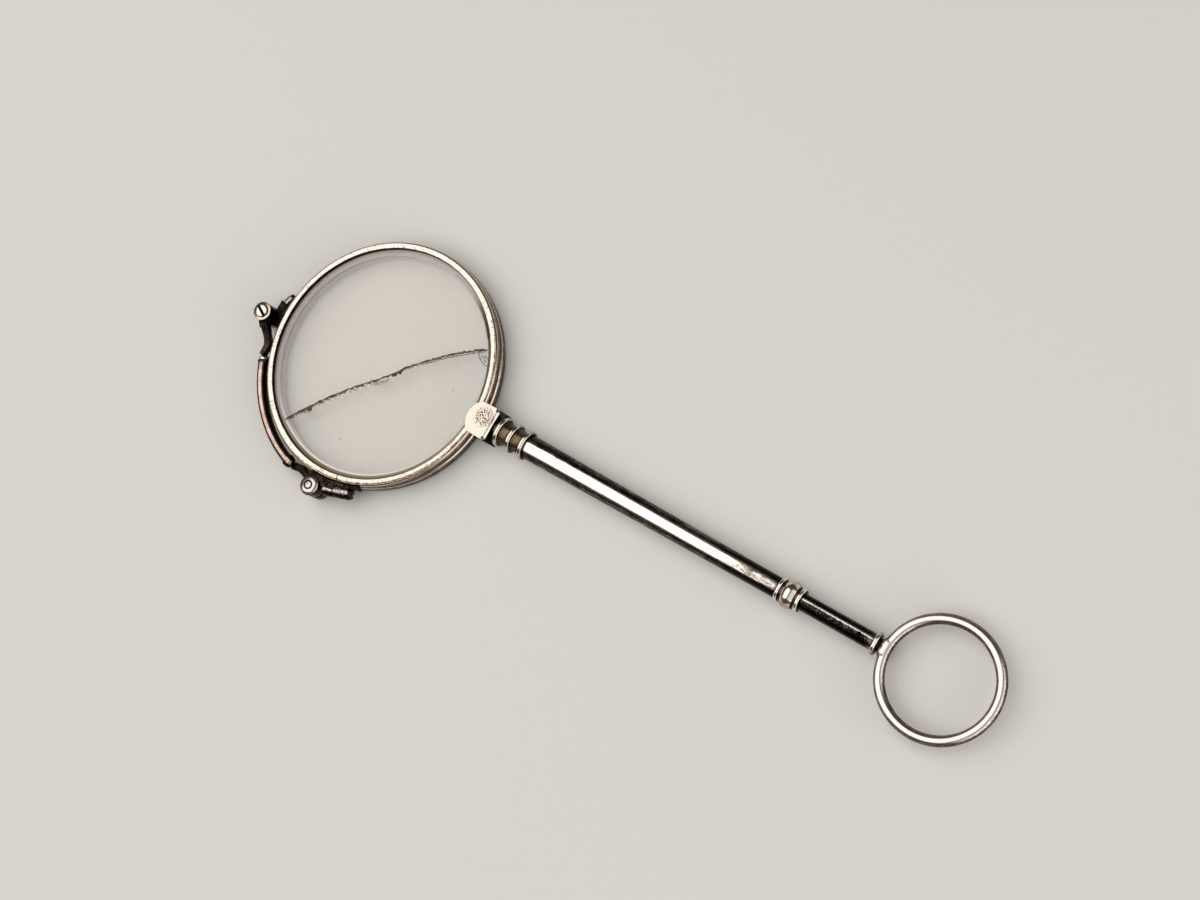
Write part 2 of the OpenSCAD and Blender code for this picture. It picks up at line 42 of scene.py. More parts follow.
# Places and sizes of the real pieces, in millimetres, and turns in degrees round the lens centre
LENS_X = -22.4
AXIS_HEIGHT = 2.5
BACK_MIDDLE = 1.25
FRONT_MIDDLE = 3.25
RIM_IN = 19.6
RIM_OUT = 20.9
RIM_HALF = 0.95
LENS_FACE = 18.7
LENS_EDGE = 19.95
LENS_HALF = 0.5
LENS_RISE = 0.25
BACK_CUT = 177.75
FRONT_CUT = 281.8
BACK_BARREL_TURN = 71.75
FRONT_BARREL_TURN = 17.8
UPPER_HINGE_AT = (-46.899, -2.23)
LOWER_HINGE_AT = (-21.836, -23.093)
BOW_RADIUS = 22.5
BOW_START = 204
BOW_END = 254.5
TUBE_START = 7.95
TUBE_END = 54.75
BAND_END = 58.15
BAND_BORE = 1.345
LOWER_END = 70.95
LOWER_BORE = 1.005
PIN_X = 68.65
RING_X = 81.625
RING_RADIUS = 8.65
RING_WIRE = 0.825

LENS = Vector((LENS_X, 0.0, 0.0)) * MM
AXIS_Z = AXIS_HEIGHT * MM
ALONG = Vector((1, 0, 0))
UPWARD = Vector((0, 0, 1))

# A step between two values that starts and ends softly, as rubbing leaves it
EASED = {"interpolation_type": "SMOOTHSTEP"}


def linear(code):
    """An sRGB hex colour as linear red, green, blue and alpha."""
    shares = [int(code[i:i + 2], 16) / 255 for i in (1, 3, 5)]
    made = []
    for share in shares:
        if share <= 0.04045:
            made.append(share / 12.92)
        else:
            made.append(((share + 0.055) / 1.055) ** 2.4)
    return (*made, 1.0)


def add(tree, kind, settings={}, inputs={}):
    """Adds one node, with its settings, and its inputs as values or links."""
    made = tree.nodes.new(kind)
    for key, value in settings.items():
        setattr(made, key, value)
    for key, value in inputs.items():
        if isinstance(value, bpy.types.NodeSocket):
            tree.links.new(value, made.inputs[key])
        else:
            made.inputs[key].default_value = value
    return made


def blank(name):
    """A new material with nothing in its tree but the output."""
    material = bpy.data.materials.new(name)
    material.use_nodes = True
    tree = material.node_tree
    tree.nodes.clear()
    output = tree.nodes.new("ShaderNodeOutputMaterial")
    return material, tree, output


# Silver, 800 to 900 fine, polished by hands where they reach it and sulphided where they don't.
# The eye sees cream-white metal, warm pinkish patina round it and near-black tarnish in the hollows.
SHINE = "#e4dcd0"
WARM = "#83705f"
TARNISH = "#120e0c"


def millimetres(tree, centre=(0.0, 0.0, 0.0)):
    """Object coordinates in millimetres, counted from a centre given in millimetres."""
    place = add(tree, "ShaderNodeTexCoord")
    return add(tree, "ShaderNodeMapping", {}, {
        "Vector": place.outputs["Object"], "Scale": (1000, 1000, 1000),
        "Location": tuple(-c for c in centre)}).outputs[0]


def seen_along(tree, mm, kept):
    """A place as seen along a round piece's axis, and its distance from that axis, in millimetres.
    kept has a 0 for the axis's direction and a 1 for the other two."""
    flat = add(tree, "ShaderNodeVectorMath", {"operation": "MULTIPLY"}, {0: mm, 1: kept})
    radius = add(tree, "ShaderNodeVectorMath", {"operation": "LENGTH"}, {0: flat.outputs[0]})
    return flat.outputs[0], radius.outputs["Value"]


def beside_line(tree, across, middle, near, far, on_it, off_it):
    """The wear beside a line along a piece, which lies at middle on the way across the piece:
    on_it up to near from the line, in millimetres, and off_it from far on."""
    moved = add(tree, "ShaderNodeMath", {"operation": "SUBTRACT"}, {0: across, 1: middle})
    off = add(tree, "ShaderNodeMath", {"operation": "ABSOLUTE"}, {0: moved.outputs[0]})
    return add(tree, "ShaderNodeMapRange", EASED, {
        "Value": off.outputs[0], "From Min": near, "From Max": far,
        "To Min": on_it, "To Max": off_it}).outputs[0]


def silver_coat(tree, output, mm, wear, shine=SHINE, warm=WARM, tarnish=TARNISH, grit=0.22,
                dents=0.012, rough=(0.17, 0.42), crevice=0.5, along=(1.0, 1.0, 1.0)):
    """Joins a wear mask, 1 for polished and 0 for black, with grain, tarnish and painted shade in the
    corners, and dents to one surface. grit is how far grain of 0.15 to 0.4 mm breaks the mask up, dents
    is the depth in mm of ripples about 1.5 mm wide, crevice is how much of the polish is lost where
    another face lies within half a millimetre, as tarnish in hollows and painted shade, and along
    stretches the grain."""
    # Ambient occlusion darkens where other faces come near: tarnish in the hollows, and painted shade
    # between parts
    shaded = add(tree, "ShaderNodeAmbientOcclusion", {"samples": 12}, {"Distance": 0.45 * MM})
    grime_and_shade = add(tree, "ShaderNodeMapRange", EASED, {
        "Value": shaded.outputs["AO"], "From Min": 0.25, "From Max": 0.85,
        "To Min": crevice, "To Max": 0.0})
    stretched = add(tree, "ShaderNodeVectorMath", {"operation": "MULTIPLY"}, {0: mm, 1: along})
    grain = add(tree, "ShaderNodeTexNoise", {}, {
        "Vector": stretched.outputs[0], "Scale": 3.2, "Detail": 5.0, "Roughness": 0.65})
    cloud = add(tree, "ShaderNodeTexNoise", {}, {
        "Vector": mm, "Scale": 0.55, "Detail": 3.0, "Roughness": 0.55})
    ground = add(tree, "ShaderNodeMath", {"operation": "MULTIPLY_ADD"}, {
        0: grain.outputs[0], 1: 2 * grit, 2: -grit})
    clouded = add(tree, "ShaderNodeMath", {"operation": "MULTIPLY_ADD"}, {
        0: cloud.outputs[0], 1: 0.5, 2: -0.25})
    loose = add(tree, "ShaderNodeMath", {"operation": "ADD"}, {
        0: ground.outputs[0], 1: clouded.outputs[0]})
    masked = add(tree, "ShaderNodeMath", {"operation": "SUBTRACT"}, {0: wear, 1: grime_and_shade.outputs[0]})
    state = add(tree, "ShaderNodeMath", {"operation": "ADD", "use_clamp": True}, {
        0: masked.outputs[0], 1: loose.outputs[0]})
    to_warm = add(tree, "ShaderNodeMapRange", EASED, {
        "Value": state.outputs[0], "From Min": 0.12, "From Max": 0.5})
    to_shine = add(tree, "ShaderNodeMapRange", EASED, {
        "Value": state.outputs[0], "From Min": 0.45, "From Max": 0.8})
    under = add(tree, "ShaderNodeMix", {"data_type": "RGBA"}, {
        0: to_warm.outputs[0], 6: linear(tarnish), 7: linear(warm)})
    colour = add(tree, "ShaderNodeMix", {"data_type": "RGBA"}, {
        0: to_shine.outputs[0], 6: under.outputs[2], 7: linear(shine)})
    roughness = add(tree, "ShaderNodeMapRange", {}, {
        "Value": state.outputs[0], "From Min": 0.1, "From Max": 0.85,
        "To Min": rough[1], "To Max": rough[0]})
    ripple = add(tree, "ShaderNodeTexNoise", {}, {
        "Vector": stretched.outputs[0], "Scale": 0.7, "Detail": 1.0})
    heights = add(tree, "ShaderNodeMath", {"operation": "MULTIPLY_ADD"}, {
        0: grain.outputs[0], 1: 0.25, 2: ripple.outputs[0]})
    bump = add(tree, "ShaderNodeBump", {}, {
        "Height": heights.outputs[0], "Strength": 1.0, "Distance": dents * MM})
    shader = add(tree, "ShaderNodeBsdfPrincipled", {}, {
        "Base Color": colour.outputs[2], "Metallic": 1.0, "Roughness": roughness.outputs[0],
        "Normal": bump.outputs[0]})
    tree.links.new(shader.outputs[0], output.inputs[0])


def bright_silver():
    """Polished sterling on the parts that fingers touch: satin white, tarnish and painted shade only in
    the corners.
    """
    material, tree, output = blank("bright_silver")
    mm = millimetres(tree)
    silver_coat(tree, output, mm, 0.85, crevice=0.9)
    return material


def dark_silver():
    """Silver that nobody polishes, round the hinges: sulphide black, a brown cast, and a painted sheen,
    lighter the higher a face lies.
    """
    material, tree, output = blank("dark_silver")
    mm = millimetres(tree)
    parts = add(tree, "ShaderNodeSeparateXYZ", {}, {0: mm})
    # Lighter with height towards the front: a painted sheen on the upper faces
    proud = add(tree, "ShaderNodeMapRange", EASED, {
        "Value": parts.outputs[2], "From Min": 1.5, "From Max": 4.6, "To Min": 0.14, "To Max": 0.36})
    silver_coat(tree, output, mm, proud.outputs[0], warm="#4a3f38", crevice=0.3, grit=0.4,
                rough=(0.26, 0.36))
    return material


def plate_silver():
    """The head's front plate: planished flat and bright, pitted pinkish brown in its middle."""
    material, tree, output = blank("planished_plate")
    mm = millimetres(tree, (-0.3, 0.55, 5.0))
    spread = add(tree, "ShaderNodeVectorMath", {"operation": "LENGTH"}, {0: mm})
    inside = add(tree, "ShaderNodeMapRange", EASED, {
        "Value": spread.outputs["Value"], "From Min": 0.7, "From Max": 2.5,
        "To Min": 1.0, "To Max": 0.0})
    pits = add(tree, "ShaderNodeTexNoise", {}, {
        "Vector": mm, "Scale": 3.4, "Detail": 4.0, "Roughness": 0.7})
    pitted = add(tree, "ShaderNodeMapRange", EASED, {
        "Value": pits.outputs[0], "From Min": 0.46, "From Max": 0.58})
    nests = add(tree, "ShaderNodeTexNoise", {}, {"Vector": mm, "Scale": 0.9, "Detail": 1.0})
    nested = add(tree, "ShaderNodeMapRange", EASED, {
        "Value": nests.outputs[0], "From Min": 0.3, "From Max": 0.46})
    sown = add(tree, "ShaderNodeMath", {"operation": "MULTIPLY"}, {
        0: nested.outputs[0], 1: pitted.outputs[0]})
    lost = add(tree, "ShaderNodeMath", {"operation": "MULTIPLY"}, {
        0: inside.outputs[0], 1: sown.outputs[0]})
    kept = add(tree, "ShaderNodeMath", {"operation": "SUBTRACT"}, {0: 0.95, 1: lost.outputs[0]})
    silver_coat(tree, output, mm, kept.outputs[0], shine="#c8bfb1", warm="#80523c", tarnish="#2c1811",
                grit=0.3, crevice=0.5)
    return material


def rim_silver():
    """Rim wire: cream where it is worn bright, near black on the groove side and down the lower part of
    its outer flank, towards the other rim. On the handle's side its front is mottled brown between two
    cream lines, and so is its flank."""
    material, tree, output = blank("silver_rim")
    mm = millimetres(tree, (LENS_X, 0.0, BACK_MIDDLE - RIM_HALF))
    parts = add(tree, "ShaderNodeSeparateXYZ", {}, {0: mm})
    flat, radius = seen_along(tree, mm, (1, 1, 0))
    inner = add(tree, "ShaderNodeMapRange", EASED, {
        "Value": radius, "From Min": 19.66, "From Max": 19.8, "To Min": 0.8, "To Max": 0.0})
    facing = add(tree, "ShaderNodeVectorMath", {"operation": "DOT_PRODUCT"}, {
        0: flat, 1: (0.88 / 20.5, -0.48 / 20.5, 0.0)})
    handle_side = add(tree, "ShaderNodeMapRange", EASED, {
        "Value": facing.outputs["Value"], "From Min": 0.1, "From Max": 0.6,
        "To Min": 0.0, "To Max": 0.44})
    rise = add(tree, "ShaderNodeMapRange", EASED, {"Value": radius, "From Min": 20.22, "From Max": 20.4})
    drop = add(tree, "ShaderNodeMapRange", EASED, {
        "Value": radius, "From Min": 20.52, "From Max": 20.64, "To Min": 1.0, "To Max": 0.0})
    track = add(tree, "ShaderNodeMath", {"operation": "MULTIPLY"}, {
        0: rise.outputs[0], 1: drop.outputs[0]})
    mottled = add(tree, "ShaderNodeMath", {"operation": "MULTIPLY"}, {
        0: track.outputs[0], 1: handle_side.outputs[0]})
    # Both rims get the same flank, so the height starts again at the front rim's foot
    rims = add(tree, "ShaderNodeMath", {"operation": "MULTIPLY"}, {
        0: parts.outputs[2], 1: 1 / (FRONT_MIDDLE - BACK_MIDDLE)})
    height = add(tree, "ShaderNodeMath", {"operation": "FRACT"}, {0: rims.outputs[0]})
    brown = add(tree, "ShaderNodeMapRange", EASED, {
        "Value": height.outputs[0], "From Min": 0.7, "From Max": 0.82, "To Min": 0.46, "To Max": 0.0})
    black = add(tree, "ShaderNodeMapRange", EASED, {
        "Value": height.outputs[0], "From Min": 0.2, "From Max": 0.5, "To Min": 0.6, "To Max": 0.0})
    both = add(tree, "ShaderNodeMath", {"operation": "ADD"}, {0: brown.outputs[0], 1: black.outputs[0]})
    outer = add(tree, "ShaderNodeMapRange", EASED, {"Value": radius, "From Min": 20.5, "From Max": 20.7})
    flank = add(tree, "ShaderNodeMath", {"operation": "MULTIPLY"}, {
        0: both.outputs[0], 1: outer.outputs[0]})
    worn_side = add(tree, "ShaderNodeMath", {"operation": "ADD"}, {
        0: flank.outputs[0], 1: mottled.outputs[0]})
    lost = add(tree, "ShaderNodeMath", {"operation": "ADD"}, {
        0: inner.outputs[0], 1: worn_side.outputs[0]})
    kept = add(tree, "ShaderNodeMath", {"operation": "SUBTRACT"}, {0: 0.84, 1: lost.outputs[0]})
    silver_coat(tree, output, mm, kept.outputs[0], shine="#cec6bb", warm="#8a6f57", tarnish="#1c120c",
                grit=0.8, crevice=0.7, dents=0.016)
    return material


def turned_silver(name, valley, crest, floor_wear=0.25, top_wear=0.95, sides=0.6, shine=SHINE,
                  warm="#6f5c48"):
    """Silver turned on the lathe: crests rubbed white, hollows near black with an olive-brown cast.
    valley and crest are radii in millimetres from the handle's axis, floor_wear and top_wear are the
    wear there, and sides is how much darker the two flanks are painted, as painted shade."""
    material, tree, output = blank(name)
    mm = millimetres(tree, (0.0, 0.0, AXIS_HEIGHT))
    parts = add(tree, "ShaderNodeSeparateXYZ", {}, {0: mm})
    radius = seen_along(tree, mm, (0, 1, 1))[1]
    height = add(tree, "ShaderNodeMapRange", EASED, {
        "Value": radius, "From Min": valley, "From Max": crest, "To Min": floor_wear, "To Max": top_wear})
    # The flanks to either side of the front are painted darker, as shade
    flank = beside_line(tree, parts.outputs[1], 0.0, 0.9, crest, 0.0, sides)
    kept = add(tree, "ShaderNodeMath", {"operation": "SUBTRACT"}, {0: height.outputs[0], 1: flank})
    silver_coat(tree, output, mm, kept.outputs[0], shine=shine, warm=warm, crevice=0.9, grit=0.4)
    return material


def tube_silver():
    """Drawn tube: polished white along the front by the fingers, painted near black and grainy down both
    flanks as a painted dark reflection, warmer near the neck and greyer near the band."""
    material, tree, output = blank("worn_silver")
    mm = millimetres(tree, (0.0, 0.0, AXIS_HEIGHT))
    parts = add(tree, "ShaderNodeSeparateXYZ", {}, {0: mm})
    middle = add(tree, "ShaderNodeMath", {"operation": "MULTIPLY_ADD"}, {
        0: parts.outputs[0], 1: 0.0064, 2: -0.33})
    # Both flanks are painted dark as a painted dark reflection, sparing a band along the middle
    flank = beside_line(tree, parts.outputs[1], middle.outputs[0], 0.6, 1.1, 0.0, 0.72)
    lines = add(tree, "ShaderNodeVectorMath", {"operation": "MULTIPLY"}, {0: mm, 1: (0.12, 3.0, 3.0)})
    streaks = add(tree, "ShaderNodeTexNoise", {}, {
        "Vector": lines.outputs[0], "Scale": 1.6, "Detail": 4.0})
    drawn = add(tree, "ShaderNodeMath", {"operation": "MULTIPLY_ADD"}, {
        0: streaks.outputs[0], 1: 0.9, 2: -0.45})
    near_neck = add(tree, "ShaderNodeMapRange", EASED, {
        "Value": parts.outputs[0], "From Min": 7.9, "From Max": 9.2, "To Min": 0.12, "To Max": 0.0})
    near_band = add(tree, "ShaderNodeMapRange", EASED, {
        "Value": parts.outputs[0], "From Min": 40.0, "From Max": 54.0, "To Min": 0.0, "To Max": 0.4})
    ends = add(tree, "ShaderNodeMath", {"operation": "ADD"}, {
        0: near_neck.outputs[0], 1: near_band.outputs[0]})
    lost = add(tree, "ShaderNodeMath", {"operation": "ADD"}, {0: flank, 1: ends.outputs[0]})
    sheen_and_shade_sides = add(tree, "ShaderNodeMath", {"operation": "SUBTRACT"}, {0: 0.95, 1: lost.outputs[0]})
    wear = add(tree, "ShaderNodeMath", {"operation": "ADD"}, {0: sheen_and_shade_sides.outputs[0], 1: drawn.outputs[0]})
    silver_coat(tree, output, mm, wear.outputs[0], warm="#75685f", tarnish="#1a1512", crevice=0.6,
                grit=0.55, along=(0.35, 1.0, 1.0))
    return material


def lower_tube_silver():
    """Drawn tube left black with sulphide, but for one line rubbed bright and grey specks beside it."""
    material, tree, output = blank("sulphided_tube")
    mm = millimetres(tree, (0.0, 0.0, AXIS_HEIGHT))
    parts = add(tree, "ShaderNodeSeparateXYZ", {}, {0: mm})
    line = beside_line(tree, parts.outputs[1], 0.42, 0.08, 0.32, 0.6, 0.0)
    specks = beside_line(tree, parts.outputs[1], 0.05, 0.1, 0.5, 0.1, 0.0)
    foot = add(tree, "ShaderNodeMapRange", EASED, {
        "Value": parts.outputs[0], "From Min": 69.6, "From Max": 70.9, "To Min": 0.0, "To Max": 0.3})
    both = add(tree, "ShaderNodeMath", {"operation": "ADD"}, {0: line, 1: specks})
    added = add(tree, "ShaderNodeMath", {"operation": "ADD"}, {0: both.outputs[0], 1: foot.outputs[0]})
    wear = add(tree, "ShaderNodeMath", {"operation": "ADD"}, {0: added.outputs[0], 1: 0.08})
    silver_coat(tree, output, mm, wear.outputs[0], warm="#6d635e", crevice=0.5, grit=0.62,
                rough=(0.2, 0.3))
    return material


def ring_silver():
    """Round silver wire bent to a ring: satin white along its middle, then warm grey and brown-black down
    its inner and outer flanks, painted shade with some wear and sulphide."""
    material, tree, output = blank("ring_wire_silver")
    mm = millimetres(tree, (RING_X, 0.0, AXIS_HEIGHT))
    radius = seen_along(tree, mm, (1, 1, 0))[1]
    # Darker away from the wire's middle line: painted shade on the flanks, with some wear
    wear = beside_line(tree, radius, RING_RADIUS, 0.3, 0.8, 0.95, 0.25)
    silver_coat(tree, output, mm, wear, shine="#d3c9c1", warm="#84756c", tarnish="#241a15", crevice=0.8,
                grit=0.5, rough=(0.22, 0.38))
    return material


def bow_silver():
    """The bow, rubbed pinkish on its round front and left brown with sulphide on its outer edge."""
    material, tree, output = blank("bow_silver")
    mm = millimetres(tree, (LENS_X, 0.0, 0.0))
    radius = seen_along(tree, mm, (1, 1, 0))[1]
    wear = beside_line(tree, radius, BOW_RADIUS - 0.1, 0.15, 0.62, 0.66, 0.05)
    silver_coat(tree, output, mm, wear, shine="#c9b2a4", warm="#7c6558", tarnish="#1f1510",
                crevice=0.7, grit=0.2, dents=0.02)
    return material


def hinge_disc_silver(name, hinge, shine, foot, black, pale):
    """A hinge's eye: its front disc painted pale on the side away from the bow as a painted highlight and
    dark on the other side as painted shade, what runs on from it black. foot is where the pale part
    starts, in millimetres from the disc's height, and black and pale are the painted shade and painted
    highlight on the two sides."""
    material, tree, output = blank(name)
    mm = millimetres(tree, (*hinge, 4.6))
    parts = add(tree, "ShaderNodeSeparateXYZ", {}, {0: mm})
    radius = seen_along(tree, mm, (1, 1, 0))[1]
    disc = add(tree, "ShaderNodeMapRange", EASED, {
        "Value": radius, "From Min": 1.5, "From Max": 1.72, "To Min": 1.0, "To Max": 0.0})
    # One side pale and the other dark: a painted highlight and painted shade across the disc
    side = add(tree, "ShaderNodeVectorMath", {"operation": "DOT_PRODUCT"}, {0: mm, 1: (0.96, -0.28, 0.0)})
    sheen_and_shade_sides = add(tree, "ShaderNodeMapRange", EASED, {
        "Value": side.outputs["Value"], "From Min": -1.3, "From Max": 0.9,
        "To Min": black, "To Max": pale})
    front = add(tree, "ShaderNodeMapRange", EASED, {
        "Value": parts.outputs[2], "From Min": foot, "From Max": foot + 0.08})
    lit = add(tree, "ShaderNodeMath", {"operation": "MULTIPLY"}, {
        0: disc.outputs[0], 1: sheen_and_shade_sides.outputs[0]})
    shown = add(tree, "ShaderNodeMath", {"operation": "MULTIPLY_ADD"}, {
        0: lit.outputs[0], 1: front.outputs[0], 2: 0.2})
    silver_coat(tree, output, mm, shown.outputs[0], shine=shine, warm="#6b5a4e", crevice=0.6, grit=0.25,
                rough=(0.2, 0.34))
    return material


def barrel_silver(name, middle, degrees, lift):
    """A closing barrel left black but for a strip on its proud side, worn to grey and cream in specks,
    which also serves as a painted highlight.
    middle is a point of its axis, degrees the axis's turn and lift its height, in millimetres."""
    material, tree, output = blank(name)
    mm = millimetres(tree, (*middle, lift))
    turn = math.radians(degrees)
    beside = add(tree, "ShaderNodeVectorMath", {"operation": "DOT_PRODUCT"}, {
        0: mm, 1: (-math.sin(turn), math.cos(turn), 0.0)})
    # The bright strip on the proud side is wear and also a painted highlight
    worn_strip_and_highlight = beside_line(tree, beside.outputs["Value"], 0.1, 0.1, 0.55, 0.58, 0.0)
    parts = add(tree, "ShaderNodeSeparateXYZ", {}, {0: mm})
    proud = add(tree, "ShaderNodeMapRange", EASED, {
        "Value": parts.outputs[2], "From Min": 0.6, "From Max": 0.85})
    shown = add(tree, "ShaderNodeMath", {"operation": "MULTIPLY_ADD"}, {
        0: worn_strip_and_highlight, 1: proud.outputs[0], 2: 0.12})
    silver_coat(tree, output, mm, shown.outputs[0], shine="#bcb4ab", warm="#63574e", crevice=0.4,
                grit=0.7, rough=(0.24, 0.36))
    return material


def screw_steel():
    """Steel screws, file-cut: greyer and duller than the silver, with the slots and everything below the
    head's top painted dark as shade.
    """
    material, tree, output = blank("screw_steel")
    mm = millimetres(tree)
    parts = add(tree, "ShaderNodeSeparateXYZ", {}, {0: mm})
    # Only above 4.8 mm, the head's top, stays bright; the slot and the sides below are painted shade
    proud = add(tree, "ShaderNodeMapRange", EASED, {
        "Value": parts.outputs[2], "From Min": 4.8, "From Max": 4.9, "To Min": 0.05, "To Max": 0.8})
    silver_coat(tree, output, mm, proud.outputs[0], shine="#d6cec4", warm="#75675b", crevice=0.9,
                rough=(0.2, 0.4))
    return material


def crack_dirt():
    """Grease and dust packed into a crack: matt brown-black, crumbly."""
    material, tree, output = blank("crack_dirt")
    mm = millimetres(tree)
    crumbs = add(tree, "ShaderNodeTexNoise", {}, {"Vector": mm, "Scale": 4.0, "Detail": 4.0})
    colour = add(tree, "ShaderNodeMix", {"data_type": "RGBA"}, {
        0: crumbs.outputs[0], 6: linear("#1c1108"), 7: linear("#5f4026")})
    shader = add(tree, "ShaderNodeBsdfPrincipled", {}, {
        "Base Color": colour.outputs[2], "Roughness": 0.7})
    tree.links.new(shader.outputs[0], output.inputs[0])
    return material


def flake_glass():
    """A flake lifted inside the glass along the crack: it scatters, so it reads as a pale grey patch."""
    material, tree, output = blank("flake_glass")
    mm = millimetres(tree)
    mottle = add(tree, "ShaderNodeTexNoise", {}, {"Vector": mm, "Scale": 3.0, "Detail": 4.0})
    colour = add(tree, "ShaderNodeMix", {"data_type": "RGBA"}, {
        0: mottle.outputs[0], 6: linear("#6c5b48"), 7: linear("#ab9a83")})
    body = add(tree, "ShaderNodeBsdfPrincipled", {}, {
        "Base Color": colour.outputs[2], "Roughness": 0.4})
    through = add(tree, "ShaderNodeBsdfTransparent")
    seen = add(tree, "ShaderNodeMapRange", {}, {
        "Value": mottle.outputs[0], "From Min": 0.35, "From Max": 0.65, "To Min": 0.2, "To Max": 0.65})
    mixed = add(tree, "ShaderNodeMixShader", {}, {
        0: seen.outputs[0], 1: through.outputs[0], 2: body.outputs[0]})
    tree.links.new(mixed.outputs[0], output.inputs[0])
    return material


def lens_glass():
    """White crown glass, polished, with a faint warm grey in its depth and a sheen from the light.
    The facet round it is ground, so it is milky in streaks: pinkish grey above, with its haze painted
    stronger towards the upper left as painted light, and below a painted reflection of the rims, pale
    inside and olive brown outside."""
    material, tree, output = blank("lens_glass")
    mm = millimetres(tree, (LENS_X, 0.0, 0.0))
    flat, radius = seen_along(tree, mm, (1, 1, 0))
    ground = add(tree, "ShaderNodeMapRange", {}, {"Value": radius, "From Min": 18.66, "From Max": 18.72})
    # The facet's haze is painted stronger on the upper left side, as painted light
    away = add(tree, "ShaderNodeVectorMath", {"operation": "DOT_PRODUCT"}, {
        0: flat, 1: (-0.92 / 19.0, 0.4 / 19.0, 0.0)})
    painted_light_side = add(tree, "ShaderNodeMapRange", EASED, {
        "Value": away.outputs["Value"], "From Min": -0.45, "From Max": 0.35,
        "To Min": 0.1, "To Max": 1.0})
    haze_and_painted_light = add(tree, "ShaderNodeMath", {"operation": "MULTIPLY"}, {
        0: ground.outputs[0], 1: painted_light_side.outputs[0]})
    tint = add(tree, "ShaderNodeMix", {"data_type": "RGBA"}, {
        0: haze_and_painted_light.outputs[0], 6: linear("#eeedeb"), 7: linear("#d3ccc8")})
    polish = add(tree, "ShaderNodeMapRange", {}, {
        "Value": haze_and_painted_light.outputs[0], "To Min": 0.02, "To Max": 0.2})
    clear = add(tree, "ShaderNodeBsdfPrincipled", {}, {
        "Base Color": tint.outputs[2], "Roughness": polish.outputs[0], "IOR": 1.52,
        "Transmission Weight": 1.0})
    # Towards the bottom the facet carries a painted reflection of the rims: pale inside, olive brown
    # outside
    facing = add(tree, "ShaderNodeVectorMath", {"operation": "DOT_PRODUCT"}, {
        0: flat, 1: (0.4 / 19.0, -0.92 / 19.0, 0.0)})
    painted_reflection_side = add(tree, "ShaderNodeMapRange", EASED, {
        "Value": facing.outputs["Value"], "From Min": 0.2, "From Max": 0.9})
    lip = add(tree, "ShaderNodeMapRange", {}, {"Value": radius, "From Min": 18.98, "From Max": 19.06})
    painted_rim_reflection = add(tree, "ShaderNodeMix", {"data_type": "RGBA"}, {
        0: lip.outputs[0], 6: linear("#e9e2d4"), 7: linear("#8e8467")})
    milk_tone = add(tree, "ShaderNodeMix", {"data_type": "RGBA"}, {
        0: painted_reflection_side.outputs[0], 6: linear("#d6cdc8"), 7: painted_rim_reflection.outputs[2]})
    spun = add(tree, "ShaderNodeVectorMath", {"operation": "MULTIPLY"}, {0: mm, 1: (0.2, 0.2, 2.0)})
    streaks = add(tree, "ShaderNodeTexNoise", {}, {
        "Vector": spun.outputs[0], "Scale": 1.0, "Detail": 5.0})
    frost = add(tree, "ShaderNodeMapRange", {}, {
        "Value": streaks.outputs[0], "From Min": 0.35, "From Max": 0.65, "To Min": 0.3, "To Max": 0.42})
    shown = add(tree, "ShaderNodeMath", {"operation": "MULTIPLY"}, {
        0: frost.outputs[0], 1: painted_light_side.outputs[0]})
    thick = add(tree, "ShaderNodeMath", {"operation": "MULTIPLY_ADD"}, {
        0: painted_reflection_side.outputs[0], 1: 0.8, 2: shown.outputs[0]})
    frosted = add(tree, "ShaderNodeMath", {"operation": "MULTIPLY"}, {
        0: thick.outputs[0], 1: ground.outputs[0]})
    milk = add(tree, "ShaderNodeBsdfDiffuse", {}, {0: milk_tone.outputs[2]})
    whole = add(tree, "ShaderNodeMixShader", {}, {
        0: frosted.outputs[0], 1: clear.outputs[0], 2: milk.outputs[0]})
    lit = add(tree, "ShaderNodeBsdfTransparent", {}, {0: linear("#f1f0ef")})
    path = add(tree, "ShaderNodeLightPath")
    mixed = add(tree, "ShaderNodeMixShader", {}, {
        0: path.outputs["Is Shadow Ray"], 1: whole.outputs[0], 2: lit.outputs[0]})
    tree.links.new(mixed.outputs[0], output.inputs[0])
    return material


bright = bright_silver()
dark = dark_silver()
plate = plate_silver()
rim_metal = rim_silver()
neck_metal = turned_silver("turned_silver", 2.0, 2.46, 0.36, 1.0, 0.3, "#d2c9be", "#7d6953")
band_metal = turned_silver("band_silver", 1.7, 2.0, 0.4, 0.97, 0.35, "#dccdc3", "#8a7062")
worn = tube_silver()
lower_metal = lower_tube_silver()
steel = screw_steel()
ring_metal = ring_silver()
bow_metal = bow_silver()
upper_disc = hinge_disc_silver("upper_eye_silver", UPPER_HINGE_AT, "#c4b29f", -0.25, 0.0, 0.62)
lower_disc = hinge_disc_silver("lower_eye_silver", LOWER_HINGE_AT, "#c4bcb3", -0.1, 0.22, 0.76)
front_barrel = barrel_silver(
    "front_barrel_silver", (-17.819, -21.927), FRONT_BARREL_TURN, FRONT_MIDDLE)
back_barrel = barrel_silver("back_barrel_silver", (-45.282, 0.899), BACK_BARREL_TURN, BACK_MIDDLE)
back_plate = turned_silver("back_plate_silver", 2.9, 3.4, 0.12, 0.3)
edge_metal = turned_silver("band_edge_silver", 1.55, 1.85, 0.15, 1.0, 0.22, "#e6dcd2", "#8a7062")
collar_metal = turned_silver("end_collar_silver", 1.2, 1.7, 0.12, 0.95, 0.35)
glass = lens_glass()
dirt = crack_dirt()
flake = flake_glass()

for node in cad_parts.values():
    node.data.materials.clear()
    node.data.materials.append(dark)


